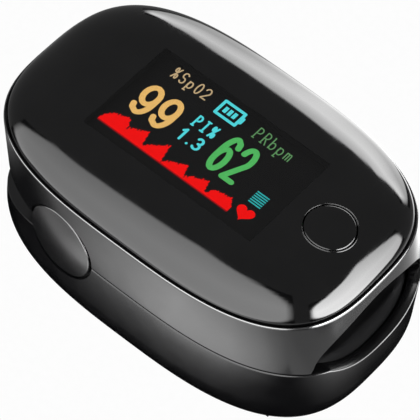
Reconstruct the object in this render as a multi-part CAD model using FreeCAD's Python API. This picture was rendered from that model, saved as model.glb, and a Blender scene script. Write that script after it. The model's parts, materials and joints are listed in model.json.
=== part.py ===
import FreeCAD, Part
import math
import os

# Fingertip pulse oximeter, built as two hinged jaws round a finger chamber.
#
# Frame: the origin is under the middle of the object, on its resting face.  +X points out
# of the finger opening, +Y to the left of someone looking out of it, and +Z up.  Heights
# called "level" are counted from the parting plane, where the two jaws meet.

V = FreeCAD.Vector

# ------------------------------------------------------------- driving dimensions, in mm

PARTING_Z = 17.2            # height of the parting plane over the resting face
PARTING_GAP = 0.1           # each housing stops this far from the parting plane
WALL = 1.6                  # wall of both housings
UPPER_FRAME_INSET = 2.1     # from the upper housing's outside to the frame and pad inside it
FIT = 0.2                   # room between a fixed piece and its neighbour

# outline of both housings at the parting plane, a superellipse
BODY_X = 0.45
BODY_HALF_LENGTH = 30.0
BODY_HALF_WIDTH = 19.2
BODY_POWER = 2.9

# outline of the upper housing at its top rim
RIM_X = -1.25
RIM_HALF_LENGTH = 29.25
RIM_HALF_WIDTH = 19.1
RIM_POWER = 3.05
RIM_LEVEL = 9.2
RIM_BEVEL = 0.35

BOTTOM_ROUNDING = 9.4       # radius between the side walls and the resting face
BOTTOM_WALL = 1.45

# lens: a vertical edge in a seat, then a dome with a flat middle
LENS_INSET = 0.45           # from the rim's outline to the lens's
LENS_SEAT_INSET = 0.32
LENS_SEAT_LEVEL = 8.3
LENS_EDGE_LEVEL = 9.3
LENS_TOP_LEVEL = 13.6
LENS_ROLL_OFF = 8.1         # width of the curved border of the dome
LENS_WALL = 1.4

# hinge between the jaws
HINGE_X = -11.5
WEDGE_ANGLE = 22.5          # slope of the lower jaw's rim behind the hinge, degrees
AXLE_RADIUS = 1.2
RUNNING_GAP = 0.05          # radial, between the axle and the ears that turn on it
PRESS_GAP = 0.01            # radial, between pieces that stay together
EAR_RADIUS = 3.4
EAR_ROOM = 0.4
UPPER_EAR_Y = (10.4, 13.2)
LOWER_EAR_Y = (13.4, 16.0)
CAP_RADIUS = 5.75
CAP_THICKNESS = 0.7
CAP_CROWN = 0.5
CAP_SINK = 0.12             # the cap's edge sits this far under the side wall's surface
CAP_GROOVE = 0.23
CAP_EXTRA_DEPTH = 0.4       # more depth in the upper jaw, which turns past the cap
PEG_END_Y = 15.0

# finger chamber: an arch above the parting plane and a shallow trough below it
MOUTH_HALF_WIDTH = 11.8
ARCH_HEIGHT = 7.4
TROUGH_DEPTH = 2.5
TROUGH_HALF_WIDTH = 10.0
CHAMBER_BACK_X = -7.0
PAD_WALL = 1.1              # silicone over the finger
FRAME_WALL = 0.7
SENSOR_X = 6.0              # emitters above it, detector below it
WINDOW_LENGTH = 6.0
WINDOW_WIDTH = 5.0

# frames inside the two jaws
FLANGE_LEVELS = (0.5, 1.7)
ROOF_LEVELS = (8.5, 9.3)
TRAY_LEVELS = (-4.9, -4.1)
TRAY_HALF_WIDTH = 11.0
TRAY_WALL = 0.8
BAY_COVER_INSET = 4.0       # leaves room for the upper jaw's rear wall when the jaws open
SCREW_PLACES = ((12.0, 15.3), (-4.5, 15.5))
BOSS_RADIUS = 1.6
SCREW_RADIUS = 0.8
SCREW_HEAD_RADIUS = 1.3
SCREW_HEAD_HEIGHT = 0.6
SCREW_LENGTH = 4.5

TRAY_FLANGE_LEVELS = (-1.5, -0.5)
PILLAR_TOP_LEVEL = 8.0
SCREW_SLOT_DEPTH = 0.3
ROOF_X = (-25.2, 22.0)
CHIP_WINDOWS = (((-25.0, -17.0), 9.4), ((-17.0, -13.0), 2.2), ((-12.6, -9.0), 9.4))
EMITTER_BOARD_LEVELS = (8.8, 9.2)
EMITTER_BOARD_HALVES = (4.0, 3.5)
EMITTER_WINDOW_LEVELS = (7.45, 7.95)
LED_Y = 1.3
LED_HALVES = (1.0, 0.6)
LED_BOTTOM_LEVEL = 8.25
LED_BEAD_RADIUS = 0.3
DETECTOR_FLEX_LEVELS = (-5.5, -5.1)
DETECTOR_FLEX_BACK_X = -15.0
DETECTOR_FLEX_HALF_WIDTH = 1.7
DETECTOR_WINDOW_LEVELS = (-3.3, -2.6)
PHOTODIODE_HALVES = (1.6, 1.4)
PHOTODIODE_TOP_LEVEL = -4.2
CABLE_SLOT_X = (-17.2, -13.4)
CABLE_HALF_WIDTH = 1.6
CABLE_THICKNESS = 0.15
CABLE_BENDS = ((-13.7, -4.95), (-15.2, -4.75), (-16.7, -2.4), (-17.2, 1.0), (-16.8, 5.0), (-15.8, 8.0),
               (-15.2, 9.2))
EAR_FOOT_LEVEL = -9.0

# board and display
BOARD_LEVEL = 9.3
BOARD_THICKNESS = 0.8
BOARD_X = (-26.0, 23.5)
BOARD_HALF_WIDTH = 13.5
BOARD_CORNER = 6.0
BOARD_SCREW_PLACES = ((-23.5, 10.8), (18.5, 10.8))
BOARD_SCREW_RADIUS = 0.6
BOARD_SCREW_HEAD_RADIUS = 1.1
BOARD_SCREW_HEAD_HEIGHT = 0.5
BOARD_SCREW_LENGTH = 1.5
DISPLAY_X = (-20.0, 13.5)
DISPLAY_HALF_WIDTH = 9.5
DISPLAY_LEVELS = (10.3, 11.7)
DISPLAY_REAR_GLASS_TOP = 11.05
DISPLAY_LEDGE = 3.0         # bare rear glass behind the front glass, where the ribbon starts
DISPLAY_FIT = 0.05
HOLDER_WALL = 0.8
HOLDER_SIDE = 0.5
HOLDER_TOP_LEVEL = 11.8
HOLDER_LEDGE = 3.0          # the part of the holder under the ends of the display
HOLDER_OPENING_HALF_WIDTH = 7.0
RIBBON_HALF_WIDTH = 6.0
RIBBON_THICKNESS = 0.14
RIBBON_ROOM = 0.3
RIBBON_BENDS = ((-20.05, 10.62), (-21.2, 10.6), (-22.4, 10.4), (-23.4, 10.28), (-24.4, 10.26))

# parts under the board: a row behind the hinge ears and a row in front of them
CHIP_ROW_X = -21.0
CHIP_Y = 4.6
CHIP_SIZE = 7.0
CHIP_HEIGHT = 1.4
LEADS_A_SIDE = 8
LEAD_PITCH = 0.8
LEAD_WIDTH = 0.35
LEAD_HEIGHT = 0.2
LEAD_REACH = (0.8, 0.45)    # how far the leads stand out sideways, and to the front and rear
BUZZER_HEIGHT = 2.5
SOUND_HOLE_RADIUS = 0.9
SMALL_ROW_X = -10.8
SMALL_CHIP_Y = (-6.5, 0.0, 6.5)
SMALL_CHIP_SIZE = (2.6, 3.4, 1.0)
CAPACITOR_Y = (-3.6, -2.8, 2.8, 3.6)
CAPACITOR_SIZE = (1.0, 0.5, 0.5)

# button and switch
BUTTON_X = 19.1
BUTTON_RADIUS = 3.6
BUTTON_HOLE_RADIUS = 3.75
BUTTON_PROUD = 0.1
BUTTON_BOTTOM_LEVEL = 11.65
BUTTON_TAB_REACH = 4.6
BUTTON_TAB_HALF_LENGTH = 1.2
BUTTON_TAB_LEVELS = (11.65, 12.05)
EDGE_BREAK = 0.16
SWITCH_SIZE = 5.2
SWITCH_TOP_LEVEL = 11.3
SWITCH_FLOOR_LEVEL = 10.6
PLUNGER_RADIUS = 1.3
PLUNGER_TOP_LEVEL = 11.75
PLUNGER_HEIGHT = 0.8
SWITCH_LEG_Y = 1.9
SWITCH_LEG_REACH = 0.6
SWITCH_LEG_WIDTH = 0.7
SWITCH_LEG_HEIGHT = 0.25

# two AAA cells side by side, turned opposite ways
CELL_RADIUS = 5.25
CELL_LENGTH = 44.5
CELL_NUB_RADIUS = 1.9
CELL_NUB_HEIGHT = 0.8
CELL_Y = 5.6
CELL_LEVEL = -10.3
BAY_X = (-24.7, 25.5)
BAY_END_WALL = 0.9
CONTACT_THICKNESS = 0.3
CONTACT_Y = (1.0, 9.6)
CONTACT_LEVELS = (-14.3, -5.1)
CONTACT_TURNS = 4
CONTACT_COIL_RADII = (3.4, 1.8)
CONTACT_WIRE_RADIUS = 0.3

# battery door, which slides out backwards on two tongues
DOOR_X = (-24.4, 22.3)
DOOR_HALF_WIDTH = 11.4
DOOR_TOP_LEVEL = -15.75
DOOR_GAP = 0.1
TONGUE_X = (-20.0, 22.1)
TONGUE_Y = (10.8, 12.4)
TONGUE_LEVELS = (-15.95, -15.2)
RAIL_Y = (10.95, 15.0)
RAIL_TOP_LEVEL = -14.3
GRIP_COUNT = 5
GRIP_START_X = -8.0
GRIP_PITCH = 2.0
GRIP_HALF_WIDTH = 5.5

# torsion springs round the axle
JAW_SPRING_RADIUS = 2.3
JAW_WIRE_RADIUS = 0.4
JAW_SPRING_TURNS = 3
JAW_SPRING_PITCH = 0.95
JAW_SPRING_START_Y = 5.2
LOWER_LEG_ANGLE = -80.0     # where each leg leaves the coil, degrees
UPPER_LEG_ANGLE = 42.0

RESTING_LEVEL = -PARTING_Z
OUTLINE_POINTS = 36
FAR = 60.0                  # longer than any piece


# ------------------------------------------------------------------------ basic shapes

def at(x, y, level):
    """A point, its height given from the parting plane."""
    return V(x, y, PARTING_Z + level)


def block(x_range, y_range, levels):
    """A box between two x values, two y values and two levels."""
    size = [high - low for low, high in (x_range, y_range, levels)]
    return Part.makeBox(size[0], size[1], size[2], at(x_range[0], y_range[0], levels[0]))


def upright(x, y, radius, levels):
    """A vertical cylinder between two levels."""
    return Part.makeCylinder(radius, levels[1] - levels[0], at(x, y, levels[0]))


def crosswise(x, level, radius, y_range):
    """A cylinder along Y."""
    height = y_range[1] - y_range[0]
    return Part.makeCylinder(radius, height, at(x, y_range[0], level), V(0, 1, 0))


def lengthwise(y, level, radius, x_range):
    """A cylinder along X."""
    height = x_range[1] - x_range[0]
    return Part.makeCylinder(radius, height, at(x_range[0], y, level), V(1, 0, 0))


def mirrored(shape):
    """The same shape on the other side of the object."""
    return shape.mirror(V(0, 0, 0), V(0, 1, 0))


def joined(first, *others):
    """Several touching solids as one."""
    return first.fuse(list(others)).removeSplitter()


def rounded_plate(x_range, half_width, corner, levels):
    """A flat plate with four rounded corners."""
    plate = block(x_range, (-half_width, half_width), levels)
    upright_edges = [edge for edge in plate.Edges if abs(edge.tangentAt(0).z) > 0.9]
    return plate.makeFillet(corner, upright_edges)


def superellipse(centre_x, half_length, half_width, power, level):
    """A closed smooth outline at one level, with corners squarer than an ellipse's."""
    points = []
    for step in range(OUTLINE_POINTS):
        turn = 2 * math.pi * step / OUTLINE_POINTS
        across = math.cos(turn)
        along = math.sin(turn)
        reach = (abs(across) ** power + abs(along) ** power) ** (-1 / power)
        points.append(at(centre_x + half_length * reach * across, half_width * reach * along, level))
    curve = Part.BSplineCurve()
    curve.interpolate(Points=points, PeriodicFlag=True, Parameters=list(range(OUTLINE_POINTS + 1)))
    return Part.Wire([curve.toShape()])


def body_outline(level, inset):
    """The housings' outline: it leans back a little above the parting plane."""
    rise = max(0.0, min(level / RIM_LEVEL, 1.1))
    centre_x = BODY_X + (RIM_X - BODY_X) * rise
    half_length = BODY_HALF_LENGTH + (RIM_HALF_LENGTH - BODY_HALF_LENGTH) * rise
    half_width = BODY_HALF_WIDTH + (RIM_HALF_WIDTH - BODY_HALF_WIDTH) * rise
    power = BODY_POWER + (RIM_POWER - BODY_POWER) * rise
    return superellipse(centre_x, half_length - inset, half_width - inset, power, level)


def rim_outline(level, inset):
    """The upper housing's top outline, drawn in by an inset."""
    return superellipse(RIM_X, RIM_HALF_LENGTH - inset, RIM_HALF_WIDTH - inset, RIM_POWER, level)


def upper_body(inset, levels):
    """The space inside the upper housing's outline, drawn in by an inset."""
    return Part.makeLoft([body_outline(level, inset) for level in levels], True, True)


def lower_body(inset, top_level, bottom_level):
    """The space inside the lower housing's outline, with its rounded bottom."""
    radius = BOTTOM_ROUNDING - inset
    turn_level = bottom_level + radius
    side = Part.makeLoft([body_outline(top_level, inset), body_outline(turn_level, inset)], True, True)
    sections = []
    for degrees in range(0, 91, 15):
        turn = math.radians(degrees)
        drawn_in = inset + radius * (1 - math.cos(turn))
        sections.append(body_outline(turn_level - radius * math.sin(turn), drawn_in))
    return side.fuse(Part.makeLoft(sections, True, False))


def dome(inset, edge_level, top_level, roll_off, bottom_level):
    """The lens's domed form: an upright edge, a curved border and a flat middle."""
    edge = Part.makeLoft([rim_outline(bottom_level, inset), rim_outline(edge_level, inset)], True, True)
    sections = []
    for degrees in range(0, 91, 15):
        turn = math.radians(degrees)
        drawn_in = inset + roll_off * (1 - math.cos(turn))
        level = edge_level + (top_level - edge_level) * math.sin(turn)
        sections.append(rim_outline(level, drawn_in))
    return edge.fuse(Part.makeLoft(sections, True, False))


def arch(half_width, height, x_range):
    """A half ellipse over the parting plane, run along X."""
    start_x = x_range[0]
    points = []
    for degrees in range(0, 181, 15):
        turn = math.radians(degrees)
        points.append(at(start_x, half_width * math.cos(turn), height * math.sin(turn)))
    curve = Part.BSplineCurve()
    curve.interpolate(points)
    foot = [at(start_x, side * half_width, -1.0) for side in (-1, 1)]
    sides = Part.makePolygon([points[-1], foot[0], foot[1], points[0]])
    face = Part.Face(Part.Wire([curve.toShape()] + sides.Edges))
    return face.extrude(V(x_range[1] - start_x, 0, 0))


def trough_cutter(x_range):
    """The long cylinder whose underside is the trough under the finger."""
    radius = (TROUGH_HALF_WIDTH ** 2 + TROUGH_DEPTH ** 2) / (2 * TROUGH_DEPTH)
    return lengthwise(0, radius - TROUGH_DEPTH, radius, x_range)


def wedge_behind_hinge():
    """The space above a slope that falls away behind the hinge, for the upper jaw to turn into."""
    back_x = HINGE_X - FAR
    drop = FAR * math.tan(math.radians(WEDGE_ANGLE))
    corners = [(HINGE_X, 0), (back_x, -drop), (back_x, 1), (HINGE_X, 1), (HINGE_X, 0)]
    wire = Part.makePolygon([at(x, -FAR / 2, level) for x, level in corners])
    return Part.Face(wire).extrude(V(0, FAR, 0))


def smooth_path(points):
    """A smooth curve through points."""
    curve = Part.BSplineCurve()
    curve.interpolate(points)
    return curve.toShape()


def strip_along(points, half_width, thickness):
    """A flat ribbon that follows a smooth path in the XZ plane, centred on Y = 0."""
    path = smooth_path(points)
    wire = Part.Wire([path])
    heading = path.tangentAt(path.FirstParameter)
    across = V(0, 1, 0)
    normal = heading.cross(across)
    start = points[0]
    corners = []
    for side, face in ((-1, -1), (1, -1), (1, 1), (-1, 1), (-1, -1)):
        corners.append(start + across * (side * half_width) + normal * (face * thickness / 2))
    return wire.makePipeShell([Part.makePolygon(corners)], True, False)


# ------------------------------------------------------------------ places used twice

def mirrored_places(places):
    """Each place and its twin on the other side."""
    return [(x, side * y) for x, y in places for side in (-1, 1)]


def screw_pillars(levels):
    """Pillars for the four frame screws, each tied to the side wall by a rib."""
    pillars = []
    for x, y in mirrored_places(SCREW_PLACES):
        outer_y = y + math.copysign(3.5, y)
        rib = block((x - 0.5, x + 0.5), sorted((y, outer_y)), levels)
        pillars.append(upright(x, y, BOSS_RADIUS, levels).fuse(rib))
    return pillars


def drilled(shape, places, radius, levels):
    """A shape with the same vertical hole at several places."""
    for x, y in places:
        shape = shape.cut(upright(x, y, radius, levels))
    return shape


def cap_frame(side):
    """Middle and outward direction of a pivot cap, flush with the leaning side wall."""
    reach = abs(HINGE_X - BODY_X) / BODY_HALF_LENGTH
    remainder = 1 - reach ** BODY_POWER
    half_width = BODY_HALF_WIDTH * remainder ** (1 / BODY_POWER)
    slope = half_width / remainder * reach ** (BODY_POWER - 1) / BODY_HALF_LENGTH
    outward = V(-slope, side, 0).normalize()
    middle = at(HINGE_X, side * half_width, 0) - outward * CAP_SINK
    return middle, outward


def cap_recess(side, extra_depth):
    """The round pocket that a pivot cap sits in."""
    middle, outward = cap_frame(side)
    depth = CAP_THICKNESS + PARTING_GAP + extra_depth
    return Part.makeCylinder(CAP_RADIUS + CAP_GROOVE, depth + 5, middle - outward * depth, outward)


def peg_hole(side):
    """The hole that a cap's peg passes through in the side walls."""
    y_range = sorted((side * LOWER_EAR_Y[1], side * FAR / 2))
    return crosswise(HINGE_X, 0, AXLE_RADIUS + 0.5, y_range)


def cut_for_caps(housing, extra_depth):
    """Both side walls with the pockets and peg holes of the pivot caps."""
    for side in (-1, 1):
        housing = housing.cut(cap_recess(side, extra_depth)).cut(peg_hole(side))
    return housing


def frame_screws(head_level, heading):
    """Four small screws, their shanks pointing up (heading 1) or down (heading -1)."""
    screws = []
    for x, y in mirrored_places(SCREW_PLACES):
        middle = at(x, y, head_level)
        head = Part.makeCylinder(SCREW_HEAD_RADIUS, SCREW_HEAD_HEIGHT, middle, V(0, 0, heading))
        shank = Part.makeCylinder(SCREW_RADIUS, SCREW_LENGTH, middle, V(0, 0, heading))
        screw = joined(head, shank)
        for length, width in ((0.9, 0.16), (0.16, 0.9)):
            slot_levels = sorted((head_level, head_level + heading * SCREW_SLOT_DEPTH))
            screw = screw.cut(block((x - length, x + length), (y - width, y + width), slot_levels))
        screws.append(screw)
    return Part.makeCompound(screws)


def inside_upper(shape, inset):
    """The part of a shape that lies inside the upper housing's outline, drawn in by an inset."""
    return shape.common(upper_body(inset, (-5.0, RIM_LEVEL + 0.9)))


def inside_lower(shape, inset):
    """The part of a shape that lies inside the lower housing's outline, drawn in by an inset."""
    return shape.common(lower_body(inset, 1.0, RESTING_LEVEL + inset))


# ---------------------------------------------------------------------------- upper jaw

def upper_housing():
    bevel_level = RIM_LEVEL - RIM_BEVEL
    sides = upper_body(0, (PARTING_GAP, bevel_level))
    bevel_outlines = [body_outline(bevel_level, 0), rim_outline(RIM_LEVEL, RIM_BEVEL / 2)]
    shell = sides.fuse(Part.makeLoft(bevel_outlines, True, True))
    shell = shell.cut(upper_body(WALL, (-1.0, RIM_LEVEL + 0.5)))
    seat_outlines = [rim_outline(level, LENS_SEAT_INSET) for level in (LENS_SEAT_LEVEL, RIM_LEVEL + 1)]
    shell = shell.cut(Part.makeLoft(seat_outlines, True, True))
    pillars = screw_pillars((FLANGE_LEVELS[1], PILLAR_TOP_LEVEL))
    shell = shell.fuse([inside_upper(pillar, WALL / 2) for pillar in pillars])
    shell = shell.cut(arch(MOUTH_HALF_WIDTH, ARCH_HEIGHT, (BODY_X, FAR)))
    pilot_levels = (FLANGE_LEVELS[1] - 1, PILLAR_TOP_LEVEL - 1.5)
    shell = drilled(shell, mirrored_places(SCREW_PLACES), SCREW_RADIUS + PRESS_GAP, pilot_levels)
    return cut_for_caps(shell, CAP_EXTRA_DEPTH)


def display_lens():
    lens = dome(LENS_INSET, LENS_EDGE_LEVEL, LENS_TOP_LEVEL, LENS_ROLL_OFF, LENS_SEAT_LEVEL + 0.02)
    hollow = dome(LENS_INSET + LENS_WALL, LENS_EDGE_LEVEL, LENS_TOP_LEVEL - LENS_WALL,
                  LENS_ROLL_OFF - LENS_WALL, LENS_SEAT_LEVEL - 1)
    lens = lens.cut(hollow).cut(upright(BUTTON_X, 0, BUTTON_HOLE_RADIUS, (10, 15)))
    chamfer_start = at(BUTTON_X, 0, LENS_TOP_LEVEL - EDGE_BREAK)
    widest = BUTTON_HOLE_RADIUS + 2 * EDGE_BREAK
    return lens.cut(Part.makeCone(BUTTON_HOLE_RADIUS, widest, 2 * EDGE_BREAK, chamfer_start))


def main_board():
    top = BOARD_LEVEL + BOARD_THICKNESS
    board = rounded_plate(BOARD_X, BOARD_HALF_WIDTH, BOARD_CORNER, (BOARD_LEVEL, top))
    hole_radius = BOARD_SCREW_RADIUS + PRESS_GAP
    return drilled(board, mirrored_places(BOARD_SCREW_PLACES), hole_radius, (BOARD_LEVEL - 1, top + 1))


def board_screws():
    top = BOARD_LEVEL + BOARD_THICKNESS
    screws = []
    for x, y in mirrored_places(BOARD_SCREW_PLACES):
        head = upright(x, y, BOARD_SCREW_HEAD_RADIUS, (top, top + BOARD_SCREW_HEAD_HEIGHT))
        shank = upright(x, y, BOARD_SCREW_RADIUS, (top - BOARD_SCREW_LENGTH, top))
        slot = block((x - 0.7, x + 0.7), (y - 0.15, y + 0.15), (top + 0.3, top + 0.6))
        screws.append(joined(head, shank).cut(slot))
    return Part.makeCompound(screws)


def under_board(x, y, length, width, height):
    """A chip on the underside of the main board."""
    x_range = (x - length / 2, x + length / 2)
    y_range = (y - width / 2, y + width / 2)
    return block(x_range, y_range, (BOARD_LEVEL - height, BOARD_LEVEL))


def controller_chip():
    """A square chip with leads on each side."""
    body = under_board(CHIP_ROW_X, CHIP_Y, CHIP_SIZE, CHIP_SIZE, CHIP_HEIGHT)
    leads = []
    for step in range(LEADS_A_SIDE):
        offset = (step - (LEADS_A_SIDE - 1) / 2) * LEAD_PITCH
        width = CHIP_SIZE + 2 * LEAD_REACH[0]
        leads.append(under_board(CHIP_ROW_X + offset, CHIP_Y, LEAD_WIDTH, width, LEAD_HEIGHT))
        length = CHIP_SIZE + 2 * LEAD_REACH[1]
        leads.append(under_board(CHIP_ROW_X, CHIP_Y + offset, length, LEAD_WIDTH, LEAD_HEIGHT))
    return joined(body, *leads)


def buzzer():
    """A square sounder with a round sound hole."""
    body = under_board(CHIP_ROW_X, -CHIP_Y, CHIP_SIZE, CHIP_SIZE, BUZZER_HEIGHT)
    hole_levels = (BOARD_LEVEL - BUZZER_HEIGHT - 0.5, BOARD_LEVEL - BUZZER_HEIGHT + 0.5)
    return body.cut(upright(CHIP_ROW_X, -CHIP_Y, SOUND_HOLE_RADIUS, hole_levels))


def support_chips():
    """The supply chip and the two amplifier chips, in front of the roof's cross strip."""
    return Part.makeCompound([under_board(SMALL_ROW_X, y, *SMALL_CHIP_SIZE) for y in SMALL_CHIP_Y])


def board_capacitors():
    """Small ceramic capacitors between the support chips."""
    return Part.makeCompound([under_board(SMALL_ROW_X, y, *CAPACITOR_SIZE) for y in CAPACITOR_Y])


def display_panel():
    """The glass of the display, with its rear glass a little longer than its front glass."""
    y_range = (-DISPLAY_HALF_WIDTH, DISPLAY_HALF_WIDTH)
    rear = block(DISPLAY_X, y_range, (DISPLAY_LEVELS[0], DISPLAY_REAR_GLASS_TOP))
    front_x = (DISPLAY_X[0] + DISPLAY_LEDGE, DISPLAY_X[1])
    front = block(front_x, y_range, (DISPLAY_REAR_GLASS_TOP, DISPLAY_LEVELS[1]))
    return joined(rear, front)


def display_holder():
    """The moulded frame that keeps the display square over the board."""
    outer_x = (DISPLAY_X[0] - HOLDER_WALL, DISPLAY_X[1] + HOLDER_WALL)
    outer_y = DISPLAY_HALF_WIDTH + HOLDER_SIDE
    levels = (BOARD_LEVEL + BOARD_THICKNESS, HOLDER_TOP_LEVEL)
    holder = block(outer_x, (-outer_y, outer_y), levels)
    room_x = (DISPLAY_X[0] - DISPLAY_FIT, DISPLAY_X[1] + DISPLAY_FIT)
    room_y = DISPLAY_HALF_WIDTH + DISPLAY_FIT
    holder = holder.cut(block(room_x, (-room_y, room_y), (DISPLAY_LEVELS[0] - 0.01, HOLDER_TOP_LEVEL + 1)))
    middle_x = (DISPLAY_X[0] + HOLDER_LEDGE, DISPLAY_X[1] - HOLDER_LEDGE)
    middle_y = (-HOLDER_OPENING_HALF_WIDTH, HOLDER_OPENING_HALF_WIDTH)
    holder = holder.cut(block(middle_x, middle_y, (levels[0] - 1, DISPLAY_LEVELS[0] + 1)))
    ribbon_y = RIBBON_HALF_WIDTH + RIBBON_ROOM
    ribbon_levels = (levels[0] + 0.1, DISPLAY_LEVELS[0] + 0.5)
    ribbon_x = (outer_x[0] - 1, DISPLAY_X[0] + 1)
    return holder.cut(block(ribbon_x, (-ribbon_y, ribbon_y), ribbon_levels))


def display_ribbon():
    """The display's flat cable, which steps down behind it onto the board."""
    points = [at(x, 0, level) for x, level in RIBBON_BENDS]
    return strip_along(points, RIBBON_HALF_WIDTH, RIBBON_THICKNESS)


def switch_base():
    half = SWITCH_SIZE / 2
    top = BOARD_LEVEL + BOARD_THICKNESS
    base = block((BUTTON_X - half, BUTTON_X + half), (-half, half), (top, SWITCH_TOP_LEVEL))
    base = base.cut(upright(BUTTON_X, 0, PLUNGER_RADIUS + RUNNING_GAP, (SWITCH_FLOOR_LEVEL, 12)))
    leg_x = (BUTTON_X - half - SWITCH_LEG_REACH, BUTTON_X + half + SWITCH_LEG_REACH)
    legs = []
    for y in (-SWITCH_LEG_Y, SWITCH_LEG_Y):
        leg_y = (y - SWITCH_LEG_WIDTH / 2, y + SWITCH_LEG_WIDTH / 2)
        legs.append(block(leg_x, leg_y, (top, top + SWITCH_LEG_HEIGHT)))
    return joined(base, *legs)


def switch_plunger():
    plunger = upright(BUTTON_X, 0, PLUNGER_RADIUS, (PLUNGER_TOP_LEVEL - PLUNGER_HEIGHT, PLUNGER_TOP_LEVEL))
    return plunger.makeChamfer(0.1, [plunger.Edges[0]])


def power_button():
    """A cap that follows the dome, kept in by two side tabs, with a dimple for the plunger."""
    cap = upright(BUTTON_X, 0, BUTTON_RADIUS, (BUTTON_BOTTOM_LEVEL, LENS_TOP_LEVEL + 1))
    proud_dome = dome(LENS_INSET, LENS_EDGE_LEVEL, LENS_TOP_LEVEL + BUTTON_PROUD, LENS_ROLL_OFF, LENS_SEAT_LEVEL)
    cap = cap.common(proud_dome)
    x_range = (BUTTON_X - BUTTON_TAB_HALF_LENGTH, BUTTON_X + BUTTON_TAB_HALF_LENGTH)
    tabs = block(x_range, (-BUTTON_TAB_REACH, BUTTON_TAB_REACH), BUTTON_TAB_LEVELS)
    dimple_levels = (BUTTON_BOTTOM_LEVEL - 1, PLUNGER_TOP_LEVEL + 0.02)
    return joined(cap, tabs).cut(upright(BUTTON_X, 0, PLUNGER_RADIUS + 0.3, dimple_levels))


def upper_frame():
    """Arched lining of the finger chamber, with a roof for the board and two hinge ears."""
    arch_x = (CHAMBER_BACK_X - FRAME_WALL, FAR)
    pad_width = MOUTH_HALF_WIDTH + PAD_WALL + 0.05
    pad_height = ARCH_HEIGHT + PAD_WALL + 0.05
    lining = arch(pad_width + FRAME_WALL, pad_height + FRAME_WALL, arch_x)
    flange = block((CHAMBER_BACK_X - 0.8, FAR), (-FAR, FAR), FLANGE_LEVELS)
    roof = block(ROOF_X, (-BOARD_HALF_WIDTH, BOARD_HALF_WIDTH), ROOF_LEVELS)
    above_flange = block((-FAR, FAR), (-FAR, FAR), (FLANGE_LEVELS[0], 12))
    frame = lining.common(above_flange).fuse([flange, roof])
    frame = frame.cut(arch(pad_width, pad_height, (CHAMBER_BACK_X, FAR)))
    frame = inside_upper(frame, UPPER_FRAME_INSET)
    ear_x = (HINGE_X - EAR_RADIUS, HINGE_X + EAR_RADIUS)
    ear = joined(block(ear_x, UPPER_EAR_Y, (0, ROOF_LEVELS[1])), crosswise(HINGE_X, 0, EAR_RADIUS, UPPER_EAR_Y))
    ear_room = crosswise(HINGE_X, 0, EAR_RADIUS + EAR_ROOM, (LOWER_EAR_Y[0] - 0.1, FAR))
    frame = frame.cut([ear_room, mirrored(ear_room)]).fuse([ear, mirrored(ear)])
    frame = frame.cut(crosswise(HINGE_X, 0, AXLE_RADIUS + RUNNING_GAP, (-FAR, FAR)))
    for x_range, half_width in CHIP_WINDOWS:
        frame = frame.cut(block(x_range, (-half_width, half_width), (ROOF_LEVELS[0] - 1, 12)))
    led_room = block((SENSOR_X - 3.1, SENSOR_X + 3.1), (-2.6, 2.6), (6, 12))
    board_room = block((SENSOR_X - 4.1, SENSOR_X + 4.1), (-3.6, 3.6), (EMITTER_BOARD_LEVELS[0] - 0.02, 12))
    frame = frame.cut([led_room, board_room])
    frame = drilled(frame, mirrored_places(BOARD_SCREW_PLACES), BOARD_SCREW_RADIUS + PRESS_GAP, (8, 12))
    frame = drilled(frame, mirrored_places(SCREW_PLACES), SCREW_RADIUS + RUNNING_GAP, (0, 2))
    head_room = (FLANGE_LEVELS[0] - 0.5, FLANGE_LEVELS[0] + SCREW_HEAD_HEIGHT + 0.02)
    return drilled(frame, mirrored_places(SCREW_PLACES), SCREW_HEAD_RADIUS + 0.1, head_room)


def upper_pad():
    """The silicone arch over the finger, closed at the back where the fingertip stops."""
    pad_x = (CHAMBER_BACK_X + 0.02, FAR)
    pad = arch(MOUTH_HALF_WIDTH + PAD_WALL, ARCH_HEIGHT + PAD_WALL, pad_x)
    pad = pad.cut(arch(MOUTH_HALF_WIDTH, ARCH_HEIGHT, (CHAMBER_BACK_X + 0.9, FAR)))
    pad = pad.common(block((-FAR, FAR), (-FAR, FAR), (0.3, 12)))
    pad = pad.cut(window_room((6, 12)))
    return inside_upper(pad, UPPER_FRAME_INSET - 0.1)


def window_room(levels):
    """The hole in a pad for the emitter or detector window."""
    half_length = WINDOW_LENGTH / 2 + 0.05
    half_width = WINDOW_WIDTH / 2 + 0.05
    return block((SENSOR_X - half_length, SENSOR_X + half_length), (-half_width, half_width), levels)


def sensor_window(levels):
    """A small clear window flush with the pad."""
    x_range = (SENSOR_X - WINDOW_LENGTH / 2, SENSOR_X + WINDOW_LENGTH / 2)
    return block(x_range, (-WINDOW_WIDTH / 2, WINDOW_WIDTH / 2), levels)


def emitter_board():
    half_length, half_width = EMITTER_BOARD_HALVES
    x_range = (SENSOR_X - half_length, SENSOR_X + half_length)
    return block(x_range, (-half_width, half_width), EMITTER_BOARD_LEVELS)


def emitter_leds():
    """The red and the infrared emitter, side by side under their board."""
    half_length, half_width = LED_HALVES
    leds = []
    for y in (-LED_Y, LED_Y):
        levels = (LED_BOTTOM_LEVEL, EMITTER_BOARD_LEVELS[0])
        x_range = (SENSOR_X - half_length, SENSOR_X + half_length)
        body = block(x_range, (y - half_width, y + half_width), levels)
        bead = Part.makeSphere(LED_BEAD_RADIUS, at(SENSOR_X, y, LED_BOTTOM_LEVEL + 0.05))
        leds.append(joined(body, bead))
    return Part.makeCompound(leds)


# ---------------------------------------------------------------------------- lower jaw

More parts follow.
